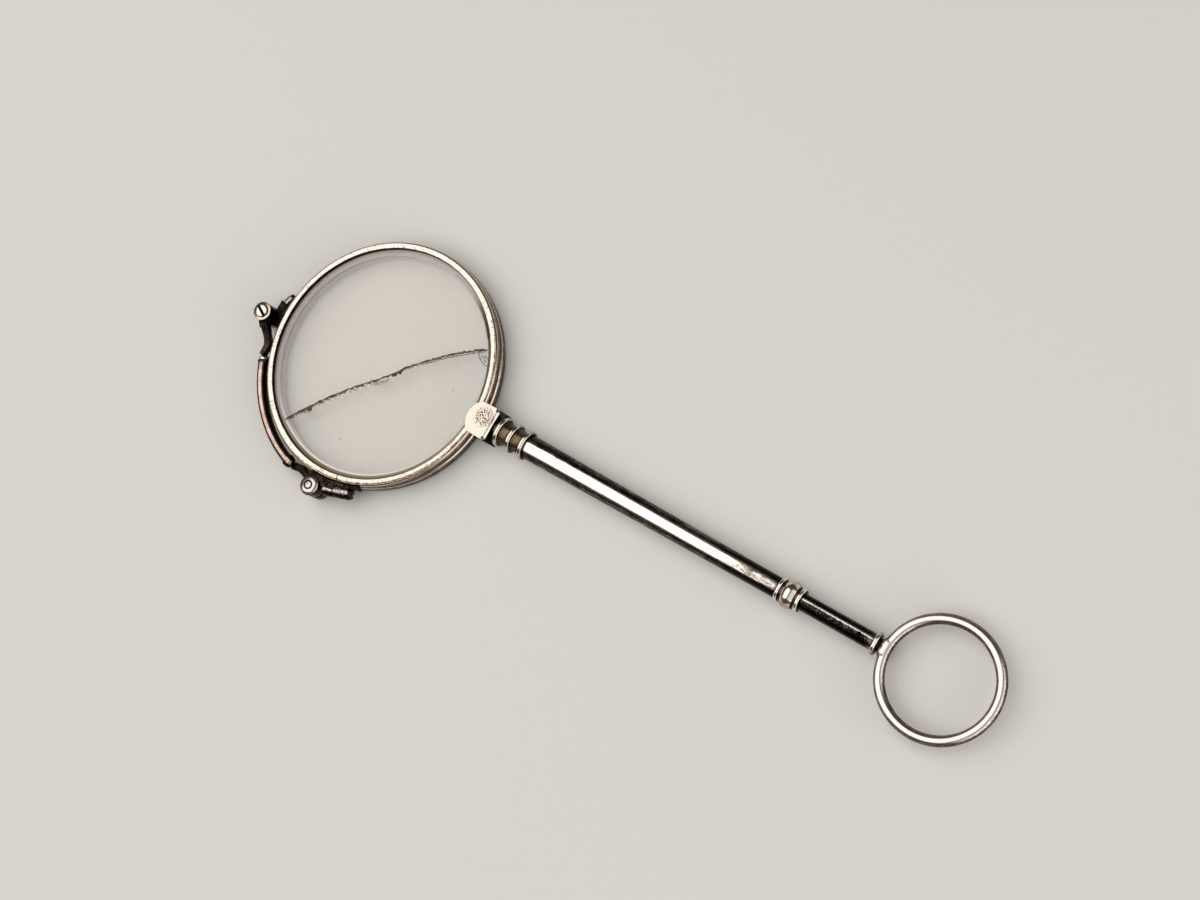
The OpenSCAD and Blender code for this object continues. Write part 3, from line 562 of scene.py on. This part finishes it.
def heading(degrees):
    """The flat direction of a turn round the lens centre."""
    turn = math.radians(degrees)
    return Vector((math.cos(turn), math.sin(turn), 0))


def polar(radius, degrees, z=0.0):
    """A point round the lens centre, radius and z in millimetres."""
    turn = math.radians(degrees)
    return LENS + Vector((radius * math.cos(turn), radius * math.sin(turn), z)) * MM


def deselect():
    """Leaves edit mode and clears the selection, so that an operator meets only its own piece."""
    if bpy.context.mode != "OBJECT":
        bpy.ops.object.mode_set(mode="OBJECT")
    bpy.ops.object.select_all(action="DESELECT")


def hold(piece):
    """Makes one piece the only selected and active one."""
    deselect()
    piece.select_set(True)
    bpy.context.view_layer.objects.active = piece


def fix_place():
    """Puts the active piece's place in its mesh."""
    bpy.ops.object.transform_apply(location=True, rotation=True, scale=True)
    return bpy.context.object


def edit(piece):
    """Opens one piece for editing, with nothing selected in it."""
    hold(piece)
    bpy.ops.object.mode_set(mode="EDIT")
    bpy.ops.mesh.select_mode(type="VERT")
    bpy.ops.mesh.select_all(action="DESELECT")


def pick(piece, kind, test):
    """Selects what passes the test: points and edges by place, faces by middle and normal, in mm."""
    bpy.ops.mesh.select_mode(type=kind)
    bpy.ops.mesh.select_all(action="DESELECT")
    bpy.ops.object.mode_set(mode="OBJECT")
    mesh = piece.data
    if kind == "VERT":
        for point in mesh.vertices:
            point.select = test(point.co / MM)
    elif kind == "EDGE":
        for line in mesh.edges:
            line.select = test(*[mesh.vertices[i].co / MM for i in line.vertices])
    else:
        for face in mesh.polygons:
            face.select = test(face.center / MM, face.normal)
    bpy.ops.object.mode_set(mode="EDIT")


def face_out(reach=0.0005):
    """Merges doubled points and turns all faces outwards, in edit mode."""
    bpy.ops.mesh.select_mode(type="VERT")
    bpy.ops.mesh.select_all(action="SELECT")
    bpy.ops.mesh.remove_doubles(threshold=reach * MM)
    bpy.ops.mesh.normals_make_consistent(inside=False)


def soften(piece, width, angle=40, steps=2):
    """Breaks the piece's sharp edges by that width in millimetres."""
    hold(piece)
    bevel = piece.modifiers.new("broken_edges", "BEVEL")
    bevel.width = width * MM
    bevel.segments = steps
    bevel.limit_method = "ANGLE"
    bevel.angle_limit = math.radians(angle)
    bevel.miter_outer = "MITER_ARC"
    bpy.ops.object.modifier_apply(modifier=bevel.name)


def cut_away(piece, cutter):
    """Takes the cutter's shape out of the piece and removes the cutter."""
    hold(piece)
    saw = piece.modifiers.new("cut", "BOOLEAN")
    saw.operation = "DIFFERENCE"
    saw.solver = "EXACT"
    saw.object = cutter
    bpy.ops.object.modifier_apply(modifier=saw.name)
    bpy.data.objects.remove(cutter)


def settle(piece, name, material, body, nodes, smooth=35):
    """Names and shades a finished piece, gives it its metal and fixes it to its body."""
    hold(piece)
    fix_place()
    bpy.ops.object.shade_smooth_by_angle(angle=math.radians(smooth))
    piece.name = name
    piece.data.name = name
    piece.data.materials.clear()
    piece.data.materials.append(material)
    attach(piece, body)
    if nodes:
        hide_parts(*nodes)
    return piece


def outline(points):
    """Draws a closed line, one point extruded from the other, and leaves it open for editing."""
    deselect()
    bpy.ops.mesh.primitive_plane_add(size=0.5 * MM, location=points[0])
    piece = fix_place()
    bpy.ops.object.mode_set(mode="EDIT")
    bpy.ops.mesh.select_all(action="SELECT")
    bpy.ops.mesh.merge(type="CENTER")
    for here, there in zip(points, points[1:]):
        bpy.ops.mesh.extrude_vertices_move(TRANSFORM_OT_translate={"value": there - here})
    bpy.ops.object.mode_set(mode="OBJECT")
    for point in piece.data.vertices:
        point.select = point.index in (0, len(points) - 1)
    bpy.ops.object.mode_set(mode="EDIT")
    bpy.ops.mesh.edge_face_add()
    return piece


def turned(stations, foot, along, out=UPWARD, steps=96, sweep=math.tau):
    """Spins an outline of (distance, radius) stations in millimetres about a line through foot."""
    points = [foot + along * (far * MM) + out * (radius * MM) for far, radius in stations]
    piece = outline(points)
    bpy.ops.mesh.select_all(action="SELECT")
    bpy.ops.mesh.spin(steps=steps, angle=sweep, center=foot, axis=-along)
    bpy.ops.mesh.select_all(action="SELECT")
    bpy.ops.mesh.remove_doubles(threshold=0.0005 * MM)
    if sweep < math.tau:
        bpy.ops.mesh.select_all(action="SELECT")
        bpy.ops.mesh.fill_holes(sides=0)
    face_out()
    return piece


def arc(centre, radius, start, end, steps):
    """Stations on an arc in an outline, angles in degrees from the direction along the axis."""
    made = []
    for i in range(steps + 1):
        turn = math.radians(start + (end - start) * i / steps)
        made.append((centre[0] + radius * math.cos(turn), centre[1] + radius * math.sin(turn)))
    return made


def filed(node, name, material, body, width):
    """A merged copy of a CAD node's mesh with its edges broken, as a file leaves them."""
    deselect()
    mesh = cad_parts[node].data.copy()
    piece = bpy.data.objects.new(name, mesh)
    bpy.context.scene.collection.objects.link(piece)
    edit(piece)
    face_out(0.002)
    bpy.ops.mesh.select_all(action="SELECT")
    bpy.ops.mesh.dissolve_limited(angle_limit=math.radians(1.0))
    deselect()
    soften(piece, width)
    return settle(piece, name, material, body, [node])


# Rims and lenses

def rim(name, middle, cut_at, body, node, metal):
    """A grooved rim, full and a little flat in front, sawn through beside its closing barrel."""
    corner = 0.22
    groove = 0.315
    fullness = 0.58
    inner = RIM_IN + corner
    section = [(-groove, RIM_IN), (0.0, RIM_IN + 0.45), (groove, RIM_IN)]
    section += arc((RIM_HALF - corner, inner), corner, 270, 360, 4)
    for i in range(25):
        turn = math.radians(180 * i / 24)
        across = math.copysign(abs(math.cos(turn)) ** fullness, math.cos(turn))
        up = abs(math.sin(turn)) ** fullness
        section.append((RIM_HALF * across, RIM_OUT - RIM_HALF + RIM_HALF * up))
    section += arc((corner - RIM_HALF, inner), corner, 180, 270, 4)
    # Half of the saw cut, 0.08 mm at the wire's middle
    half_cut = math.degrees(0.08 / 20.2)
    foot = LENS + Vector((0, 0, middle)) * MM
    sweep = math.tau - 2 * math.radians(half_cut)
    piece = turned(section, foot, UPWARD, heading(cut_at + half_cut), 192, sweep)
    return settle(piece, name, metal, body, [node], 40)


def lens(name, middle, body, node):
    """A round lens, fuller in the middle, ground to an edge that sits in the rim's groove."""
    face = []
    for i in range(25):
        radius = LENS_FACE * i / 24
        face.append((LENS_HALF + LENS_RISE * (1 - (radius / LENS_FACE) ** 2), radius))
    under = [(-z, radius) for z, radius in reversed(face)]
    foot = LENS + Vector((0, 0, middle)) * MM
    piece = turned(face + [(0.0, LENS_EDGE)] + under, foot, UPWARD, ALONG, 128)
    return settle(piece, name, glass, body, [node], 10)


rim("back_rim_wire", BACK_MIDDLE, BACK_CUT, "handle_side", "back_rim", rim_metal)
rim("front_rim_wire", FRONT_MIDDLE, FRONT_CUT, "front_side", "front_rim", rim_metal)
lens("back_lens_ground", BACK_MIDDLE, "handle_side", "back_lens")
lens("front_lens_ground", FRONT_MIDDLE, "front_side", "front_lens")


# Head block

def head_plate(name):
    """The bright front cheek: a round sawn on three sides, with its corners and edges worn round."""
    half = 2.75
    end = 1.6
    deselect()
    bpy.ops.mesh.primitive_cylinder_add(
        vertices=96, radius=3.3 * MM, depth=0.7 * MM, location=(0, 0, 4.65 * MM))
    piece = fix_place()
    edit(piece)
    for point, normal in (
            ((0, half, 0), (0, 1, 0)), ((0, -half, 0), (0, -1, 0)), ((end, 0, 0), (1, 0, 0))):
        bpy.ops.mesh.select_all(action="SELECT")
        bpy.ops.mesh.bisect(
            plane_co=Vector(point) * MM, plane_no=normal, use_fill=True, clear_outer=True)
    pick(piece, "EDGE", lambda a, b: min(a.x, b.x) > end - 0.01 and abs(a.z - b.z) > 0.5)
    bpy.ops.mesh.bevel(offset=0.7 * MM, segments=6, affect="EDGES")
    pick(piece, "EDGE", lambda a, b: min(a.x, b.x) > 1.05 and min(a.z, b.z) > 4.99)
    bpy.ops.mesh.bevel(offset=0.42 * MM, segments=1, affect="EDGES")
    deselect()
    soften(piece, 0.13, 35, 3)
    return settle(piece, name, plate, "handle_side", ["front_cheek"], 30)


head_plate("head_front_plate")
filed("rear_cheek", "head_back_plate", back_plate, "handle_side", 0.12)
filed("cheek_spacer", "head_wedge", dark, "handle_side", 0.04)


# Handle, from the neck to the finger ring

HANDLE_FOOT = Vector((0, 0, AXIS_Z))


def handle_piece(name, stations, material, nodes, smooth=35):
    """A piece turned about the handle's axis, its stations given as (x, radius) in millimetres."""
    piece = turned(stations, HANDLE_FOOT, ALONG)
    return settle(piece, name, material, "handle_side", nodes, smooth)


def neck_stations():
    """Three beads with coves between them, then the tenon inside the tube."""
    start = 2.3
    tenon = 1.68
    tenon_end = 11.95
    made = [(start, 0.0)]
    for i in range(3):
        x = start + 2.405 * i
        made += [(x, 1.92), (x + 0.01, 2.06)]
        made += arc((x + 0.42, 2.09), 0.41, 178, 2, 14)
        made += [(x + 0.83, 2.06), (x + 0.84, 1.96)]
        if i < 2:
            for k in range(9):
                u = k / 8
                made.append((x + 0.88 + 1.49 * u, 1.84 + 0.16 * (2 * u - 1) ** 2))
    made += [(TUBE_START, tenon), (tenon_end, tenon), (tenon_end, 0.0)]
    return made


filed("neck_collar", "neck_collar_turned", dark, "handle_side", 0.06)
handle_piece("neck_beads", neck_stations(), neck_metal, ["turned_neck"], 50)
handle_piece(
    "handle_tube_drawn",
    [(TUBE_START, 1.75), (TUBE_START, 1.97), (8.0, 2.0)]
    + [(8.0 + 46.7 * i / 24, 2.0 - 0.4 * i / 24) for i in range(1, 25)]
    + [(TUBE_END, 1.57), (TUBE_END, 1.35)],
    worn, ["handle_tube"])


def edge_ring(name, x, node):
    """A thin round-edged ring that closes the band, its near side at x."""
    stations = [(x, BAND_BORE)] + arc((x + 0.3, 1.7), 0.3, 180, 0, 12) + [(x + 0.6, BAND_BORE)]
    return handle_piece(name, stations, edge_metal, [node], 40)


edge_ring("band_upper_disc", TUBE_END, "band_upper_ring")
edge_ring("band_lower_disc", BAND_END, "band_lower_ring")
swell = []
for i in range(21):
    u = i / 20
    swell.append((55.75 + 2.0 * u, 1.8 + 0.45 * math.sin(math.pi * u)))
handle_piece(
    "band_swell",
    [(55.35, BAND_BORE), (55.35, 1.6), (55.7, 1.6)] + swell
    + [(57.8, 1.6), (BAND_END, 1.6), (BAND_END, BAND_BORE)],
    band_metal, ["band_middle"], 40)

lower = turned(
    [(49.75, LOWER_BORE), (49.75, 1.3), (49.78, 1.325)]
    + [(50.0 + 20.9 * i / 16, 1.325) for i in range(17)]
    + [(LOWER_END, 1.3), (LOWER_END, LOWER_BORE)],
    HANDLE_FOOT, ALONG)
deselect()
bpy.ops.mesh.primitive_cylinder_add(
    vertices=48, radius=0.32 * MM, depth=2 * MM, location=(PIN_X * MM, 0, AXIS_Z + 1.6 * MM))
cut_away(lower, fix_place())
settle(lower, "lower_tube_drawn", lower_metal, "handle_side", ["lower_tube"])

pin = turned([(0.02, 0.0), (0.02, 0.3), (1.15, 0.3), (1.25, 0.22), (1.3, 0.0)],
             Vector((PIN_X * MM, 0, AXIS_Z)), UPWARD, ALONG, 32)
settle(pin, "spigot_pin_end", steel, "handle_side", ["spigot_pin"], 50)

handle_piece(
    "end_collar_turned",
    [(67.55, 0.0), (67.55, 0.985), (70.93, 0.985), (LOWER_END, 1.52)]
    + arc((71.29, 1.52), 0.34, 180, 0, 12)
    + [(71.63, 1.3), (71.72, 1.14), (71.95, 1.05), (72.15, 1.0), (72.15, 0.0)],
    collar_metal, ["end_collar"], 50)
filed("ring_saddle", "ring_saddle_filed", ring_metal, "handle_side", 0.3)

deselect()
bpy.ops.mesh.primitive_circle_add(
    vertices=40, radius=RING_WIRE * MM, fill_type="NOTHING",
    location=((RING_X + RING_RADIUS) * MM, 0, AXIS_Z), rotation=(math.pi / 2, 0, 0))
ring = fix_place()
edit(ring)
bpy.ops.mesh.select_all(action="SELECT")
bpy.ops.mesh.spin(steps=128, angle=math.tau, center=(RING_X * MM, 0, AXIS_Z), axis=(0, 0, 1))
face_out()
settle(ring, "finger_ring_wire", ring_metal, "handle_side", ["finger_ring"], 60)


# Bridge bow, its ferrules and arms, the hinges and the closing barrels

UPPER_HINGE = Vector((*UPPER_HINGE_AT, 0.0)) * MM
LOWER_HINGE = Vector((*LOWER_HINGE_AT, 0.0)) * MM


def bow():
    """The flat-sided bow, spun through its arc between the ferrules and capped."""
    section = arc((0.35, BOW_RADIUS), 0.75, 270, 450, 12) + arc((-0.35, BOW_RADIUS), 0.75, 90, 270, 12)
    inset = 1.757
    sweep = math.radians(BOW_END - BOW_START - 2 * inset)
    foot = LENS + Vector((0, 0, AXIS_Z))
    return turned(section, foot, UPWARD, heading(BOW_START + inset), 48, sweep)


settle(bow(), "bridge_bow_wire", bow_metal, "bridge", ["bridge_bow"], 40)


def ferrule(name, at, side, node, metal, ring):
    """A ring at the bow's end that closes to a dome towards the arm."""
    half = 0.65
    spot = polar(BOW_RADIUS, at, AXIS_HEIGHT)
    turn = math.radians(at)
    along = Vector((math.sin(turn), -math.cos(turn), 0)) * side
    stations = [(-half, 0.0), (-half, 1.0), (-0.62, 1.05), (-0.3, 1.05), (-0.24, 0.98), (-0.18, 0.92)]
    for i in range(9):
        u = math.radians(90 * i / 8)
        stations.append((-0.12 + 0.77 * math.sin(u), 1.05 * (0.42 + 0.53 * math.cos(u))))
    stations.append((half, 0.0))
    piece = turned(stations, spot, along, UPWARD, 48)
    settle(piece, name, metal, "bridge", [node], 40)
    piece.data.materials.append(ring)
    for face in piece.data.polygons:
        if (face.center - spot).dot(along) < -0.17 * MM:
            face.material_index = 1
    return piece


ferrule("upper_ferrule_turned", BOW_START, 1, "upper_ferrule", bright, dark)
ferrule("lower_ferrule_turned", BOW_END, -1, "lower_ferrule", bow_metal, bow_metal)


def slot_cutter(spot, degrees, width, bottom, top, reach):
    """The blade that a screw's slot is sawn with."""
    deselect()
    bpy.ops.mesh.primitive_cube_add(
        size=1, location=spot + Vector((0, 0, (bottom + top) / 2 * MM)),
        rotation=(0, 0, math.radians(degrees)),
        scale=(reach * MM, width * MM, (top - bottom) * MM))
    return fix_place()


def barrel_skin(piece, middle, degrees, metal):
    """Gives the barrel's part of a lug the barrel's finish."""
    along = heading(degrees)
    piece.data.materials.append(metal)
    for face in piece.data.polygons:
        away = face.center - middle
        far = away.dot(along)
        aside = (away - along * far).length
        if abs(far) < 3.2 * MM and aside < 0.96 * MM and aside > 0.6 * MM:
            face.material_index = 1


filed("upper_bow_arm", "upper_arm_filed", upper_disc, "bridge", 0.2)
filed("lower_bow_arm", "lower_arm_filed", dark, "bridge", 0.25)
back_lug = filed("back_hinge_lug", "back_hinge_lug_filed", dark, "handle_side", 0.12)
barrel_skin(back_lug, polar(22.9, BACK_CUT, BACK_MIDDLE), BACK_BARREL_TURN, back_barrel)
filed("back_closing_lug", "back_closing_lug_filed", back_barrel, "handle_side", 0.12)
filed("front_closing_lug", "front_closing_lug_filed", front_barrel, "front_side", 0.12)

front_lug = filed(
    "front_hinge_lug", "front_hinge_lug_filed", lower_disc, "front_side", 0.12)
dome = turned(
    [(4.42, 0.7), (4.78, 0.7), (4.9, 0.74), (4.94, 0.84), (4.92, 1.0), (4.86, 1.18), (4.77, 1.36),
     (4.66, 1.52), (4.54, 1.64), (4.42, 1.7)],
    LOWER_HINGE, UPWARD, ALONG, 64)
settle(dome, "lower_hinge_cap_domed", lower_disc, "front_side", ["front_hinge_lug"], 50)
barrel_skin(front_lug, polar(22.4, FRONT_CUT, FRONT_MIDDLE), FRONT_BARREL_TURN, front_barrel)

rivet = turned(
    [(0.0, 0.0), (0.0, 1.0), (0.1, 1.1), (0.36, 1.1), (0.4, 1.06), (0.4, 0.55), (4.9, 0.55), (4.98, 0.5),
     (5.02, 0.36), (5.03, 0.0)],
    LOWER_HINGE, UPWARD, ALONG, 64)
cut_away(rivet, slot_cutter(LOWER_HINGE, 65, 0.4, -0.2, 0.2, 3.0))
settle(rivet, "lower_hinge_rivet", lower_disc, "front_side", ["lower_hinge_screw"], 40)

screw = turned(
    [(0.05, 0.0), (0.05, 0.5), (0.1, 0.55), (4.63, 0.55), (4.63, 1.05), (4.7, 1.12), (4.84, 1.12),
     (4.94, 1.02), (5.01, 0.74), (5.03, 0.35), (5.03, 0.0)],
    UPPER_HINGE, UPWARD, ALONG, 64)
cut_away(screw, slot_cutter(UPPER_HINGE, -28.6, 0.52, 4.72, 5.3, 3.0))
settle(screw, "upper_hinge_screw_turned", steel, "handle_side", ["upper_hinge_screw"], 40)

filed("back_closing_screw", "back_closing_screw_turned", dark, "handle_side", 0.06)
filed("front_closing_screw", "front_closing_screw_turned", dark, "front_side", 0.06)


# The crack across the front lens, in millimetres from the lens centre

CRACK = [
    (-10.25, -16.16), (-9.64, -15.08), (-8.93, -14.15), (-8.06, -13.13), (-7.05, -11.66), (-5.95, -10.34),
    (-4.85, -9.02), (-3.59, -7.62), (-2.33, -6.23), (-0.75, -4.68), (0.98, -3.05), (2.39, -1.59),
    (3.95, -0.05), (4.77, 1.3), (5.93, 2.44), (7.25, 3.66), (8.57, 4.88), (9.88, 6.09), (11.29, 7.16),
    (12.68, 8.22), (14.39, 9.44), (16.0, 10.3)]
# How far the line wanders to either side, and how its width varies, both repeated along it
TREMBLE = [0.0, 0.09, -0.05, 0.12, -0.1, 0.03, -0.12, 0.08, 0.02, -0.07, 0.11, -0.03, 0.06]
THICKNESS = [1.0, 0.6, 1.3, 0.8, 1.5, 0.7, 1.1, 0.5, 1.2, 0.9, 1.6]


def on_lens(x, y, lift):
    """A point just proud of the front lens's face."""
    fall = min(1.0, math.hypot(x, y) / LENS_FACE)
    height = FRONT_MIDDLE + LENS_HALF + LENS_RISE * (1 - fall * fall) + lift
    return LENS + Vector((x, y, height)) * MM


def along_crack(share):
    """The point at a share of the crack's length, and the direction across it."""
    place = share * (len(CRACK) - 1)
    i = min(int(place), len(CRACK) - 2)
    ahead = Vector(CRACK[i + 1]) - Vector(CRACK[i])
    across = Vector((-ahead.y, ahead.x)).normalized()
    return Vector(CRACK[i]) + ahead * (place - i), across


def ribbon(start, end, steps, width, aside=0.0, shake=1.0):
    """Both sides of a ragged line along the crack."""
    left = []
    right = []
    for i in range(steps + 1):
        middle, across = along_crack(start + (end - start) * i / steps)
        middle = middle + across * (aside + shake * TREMBLE[i % len(TREMBLE)])
        half = width / 2 * THICKNESS[i % len(THICKNESS)]
        if i in (0, steps):
            half = half * 0.2
        left.append(middle + across * half)
        right.append(middle - across * half)
    return left + right[::-1]


def patch(points, lift):
    """A flat flake of that outline on the lens, as a thin closed solid, in edit mode."""
    piece = outline([on_lens(p[0], p[1], lift) for p in points])
    bpy.ops.mesh.select_all(action="SELECT")
    bpy.ops.mesh.edge_face_add()
    bpy.ops.mesh.quads_convert_to_tris()
    bpy.ops.mesh.select_all(action="SELECT")
    bpy.ops.mesh.extrude_region_move(TRANSFORM_OT_translate={"value": (0, 0, -0.03 * MM)})
    face_out()
    return piece


def thread(points, width):
    """Both sides of a fine line through the points."""
    left = []
    right = []
    for i, point in enumerate(points):
        ahead = Vector(points[min(i + 1, len(points) - 1)]) - Vector(points[max(i - 1, 0)])
        across = Vector((-ahead.y, ahead.x)).normalized() * width / 2
        left.append(Vector(point) + across)
        right.append(Vector(point) - across)
    return left + right[::-1]


def gathered(pieces, name, material):
    """Joins flakes of one kind to one piece on the front lens."""
    hold(pieces[0])
    for piece in pieces[1:]:
        piece.select_set(True)
    bpy.context.view_layer.objects.active = pieces[0]
    bpy.ops.object.join()
    return settle(bpy.context.object, name, material, "front_side", [])


def blob(x, y, length, width, lean):
    """A crumb's ragged outline, of eleven points."""
    made = []
    for i in range(11):
        turn = math.tau * i / 11
        reach = 1.0 + 2.2 * TREMBLE[(i * 3) % len(TREMBLE)]
        u = math.cos(turn) * length / 2 * reach
        v = math.sin(turn) * width / 2 * reach
        made.append((
            x + u * math.cos(lean) - v * math.sin(lean),
            y + u * math.sin(lean) + v * math.cos(lean)))
    return made


lines = [
    patch(ribbon(0.0, 1.0, 90, 0.28), 0.014),
    patch(ribbon(0.70, 0.99, 26, 0.09, -0.42, 0.6), 0.014),
    patch(ribbon(0.05, 0.36, 30, 0.08, -0.25, 1.4), 0.014),
    patch(thread(
        [(14.6, 9.75), (14.8, 9.3), (15.05, 8.95), (15.35, 8.66), (15.75, 8.35), (16.19, 8.16),
         (16.95, 7.95), (17.5, 7.88)], 0.11), 0.014),
]
gathered(lines, "lens_crack", dirt)
crumbs = []
for x, y, length, width, lean in (
        (-7.05, -12.35, 1.0, 0.8, 0.9), (-8.2, -13.3, 0.9, 0.6, 0.9), (-9.5, -15.1, 1.1, 0.6, 1.0),
        (-5.9, -10.5, 0.75, 0.55, 0.7), (-4.4, -8.7, 0.6, 0.42, 0.8), (-0.6, -4.7, 0.55, 0.4, 0.7),
        (3.6, -0.5, 1.3, 0.75, 0.9), (4.3, 0.2, 0.8, 0.7, 0.4), (4.75, 1.3, 0.6, 0.45, 1.2),
        (14.6, 9.5, 0.9, 0.3, 0.6), (15.6, 10.0, 1.0, 0.35, 0.5), (-2.52, 6.8, 0.24, 0.2, 0.3),
        (-10.0, 2.2, 0.2, 0.16, 0.8), (15.7, 5.8, 0.2, 0.16, 0.1), (12.5, 5.6, 0.18, 0.14, 0.5),
        (14.3, 1.9, 0.24, 0.18, 0.9), (0.8, -14.1, 0.3, 0.2, 0.2), (-12.35, -2.35, 0.26, 0.2, 0.6),
        (7.0, -16.4, 0.24, 0.16, 1.0)):
    crumbs.append(patch(blob(x, y, length, width, lean), 0.02))
gathered(crumbs, "crack_crumbs", dirt)
flakes = [
    patch(ribbon(0.02, 0.5, 40, 0.3, -0.3, 2.0), 0.006),
    patch(ribbon(0.6, 0.985, 40, 0.34, -0.26, 0.8), 0.006),
    patch([
        (1.0, -3.5), (1.9, -2.7), (2.9, -1.6), (3.3, -1.5), (3.1, -2.3), (2.2, -3.2),
        (1.3, -3.8)], 0.006),
    patch(blob(-7.3, -12.7, 1.7, 1.2, 0.8), 0.008),
    patch(blob(16.1, 9.0, 1.0, 0.5, 0.5), 0.006),
    patch(blob(16.6, 8.5, 0.5, 0.3, -0.5), 0.006),
]
gathered(flakes, "lens_flakes", flake)


# Floor, light and camera

deselect()
bpy.ops.mesh.primitive_plane_add(size=3.0, location=(0.03, 0.0, 0.0))
floor = fix_place()
floor.name = "studio_floor"
pale, tree, output = blank("floor_paper")
paper = add(tree, "ShaderNodeBsdfPrincipled", {}, {
    "Base Color": linear("#dbd7d0"), "Roughness": 0.85})
tree.links.new(paper.outputs[0], output.inputs[0])
floor.data.materials.append(pale)

world = bpy.data.worlds.new("studio_air")
world.use_nodes = True
world.node_tree.nodes["Background"].inputs[0].default_value = linear("#4b4946")
world.node_tree.nodes["Background"].inputs[1].default_value = 1.0
bpy.context.scene.world = world
bpy.context.scene.view_settings.view_transform = "Standard"


def softbox(name, direction, distance, size, watts):
    """An area light of that size in metres, aimed at the object's middle."""
    middle = Vector((0.02, 0.0, 0.0025))
    lamp = bpy.data.lights.new(name, "AREA")
    lamp.shape = "RECTANGLE"
    lamp.size = size[0]
    lamp.size_y = size[1]
    lamp.energy = watts
    holder = bpy.data.objects.new(name, lamp)
    bpy.context.scene.collection.objects.link(holder)
    away = Vector(direction).normalized()
    holder.location = middle + away * distance
    holder.rotation_mode = "QUATERNION"
    flat = away.cross(Vector((0.0, 1.0, 0.0))).normalized()
    turn = Matrix((flat.cross(away), flat, away)).transposed()
    holder.rotation_quaternion = turn.to_quaternion()


def leaning(degrees):
    """A direction square to the lenses, leaned that many degrees towards the finger ring."""
    return (math.sin(math.radians(degrees)), 0.0, math.cos(math.radians(degrees)))


key_way = Vector(leaning(-24)) + Vector((0.0, -0.11, 0.0))
softbox("key_light", key_way, 0.6, (1.0, 1.0), 5.2)
softbox("side_light", leaning(55), 0.6, (1.0, 0.45), 1.3)
softbox("low_light", leaning(76), 0.6, (0.9, 0.26), 1.0)

# The camera as solved from the photograph: 52 mm lens, 0.28 m away
camera_data = bpy.data.cameras.new("photo_camera")
camera_data.lens = 51.98
camera_data.sensor_width = 36.0
camera_data.clip_start = 0.01
camera_data.clip_end = 10.0
camera = bpy.data.objects.new("photo_camera", camera_data)
bpy.context.scene.collection.objects.link(camera)
right = Vector((0.8043, 0.5009, -0.3196))
up = Vector((-0.4466, 0.8645, 0.2307))
back = Vector((0.3919, -0.0428, 0.9190))
turn = Matrix((right, up, back)).transposed().to_4x4()
camera.matrix_world = Matrix.Translation((0.12444, -0.00650, 0.25025)) @ turn
bpy.context.scene.camera = camera
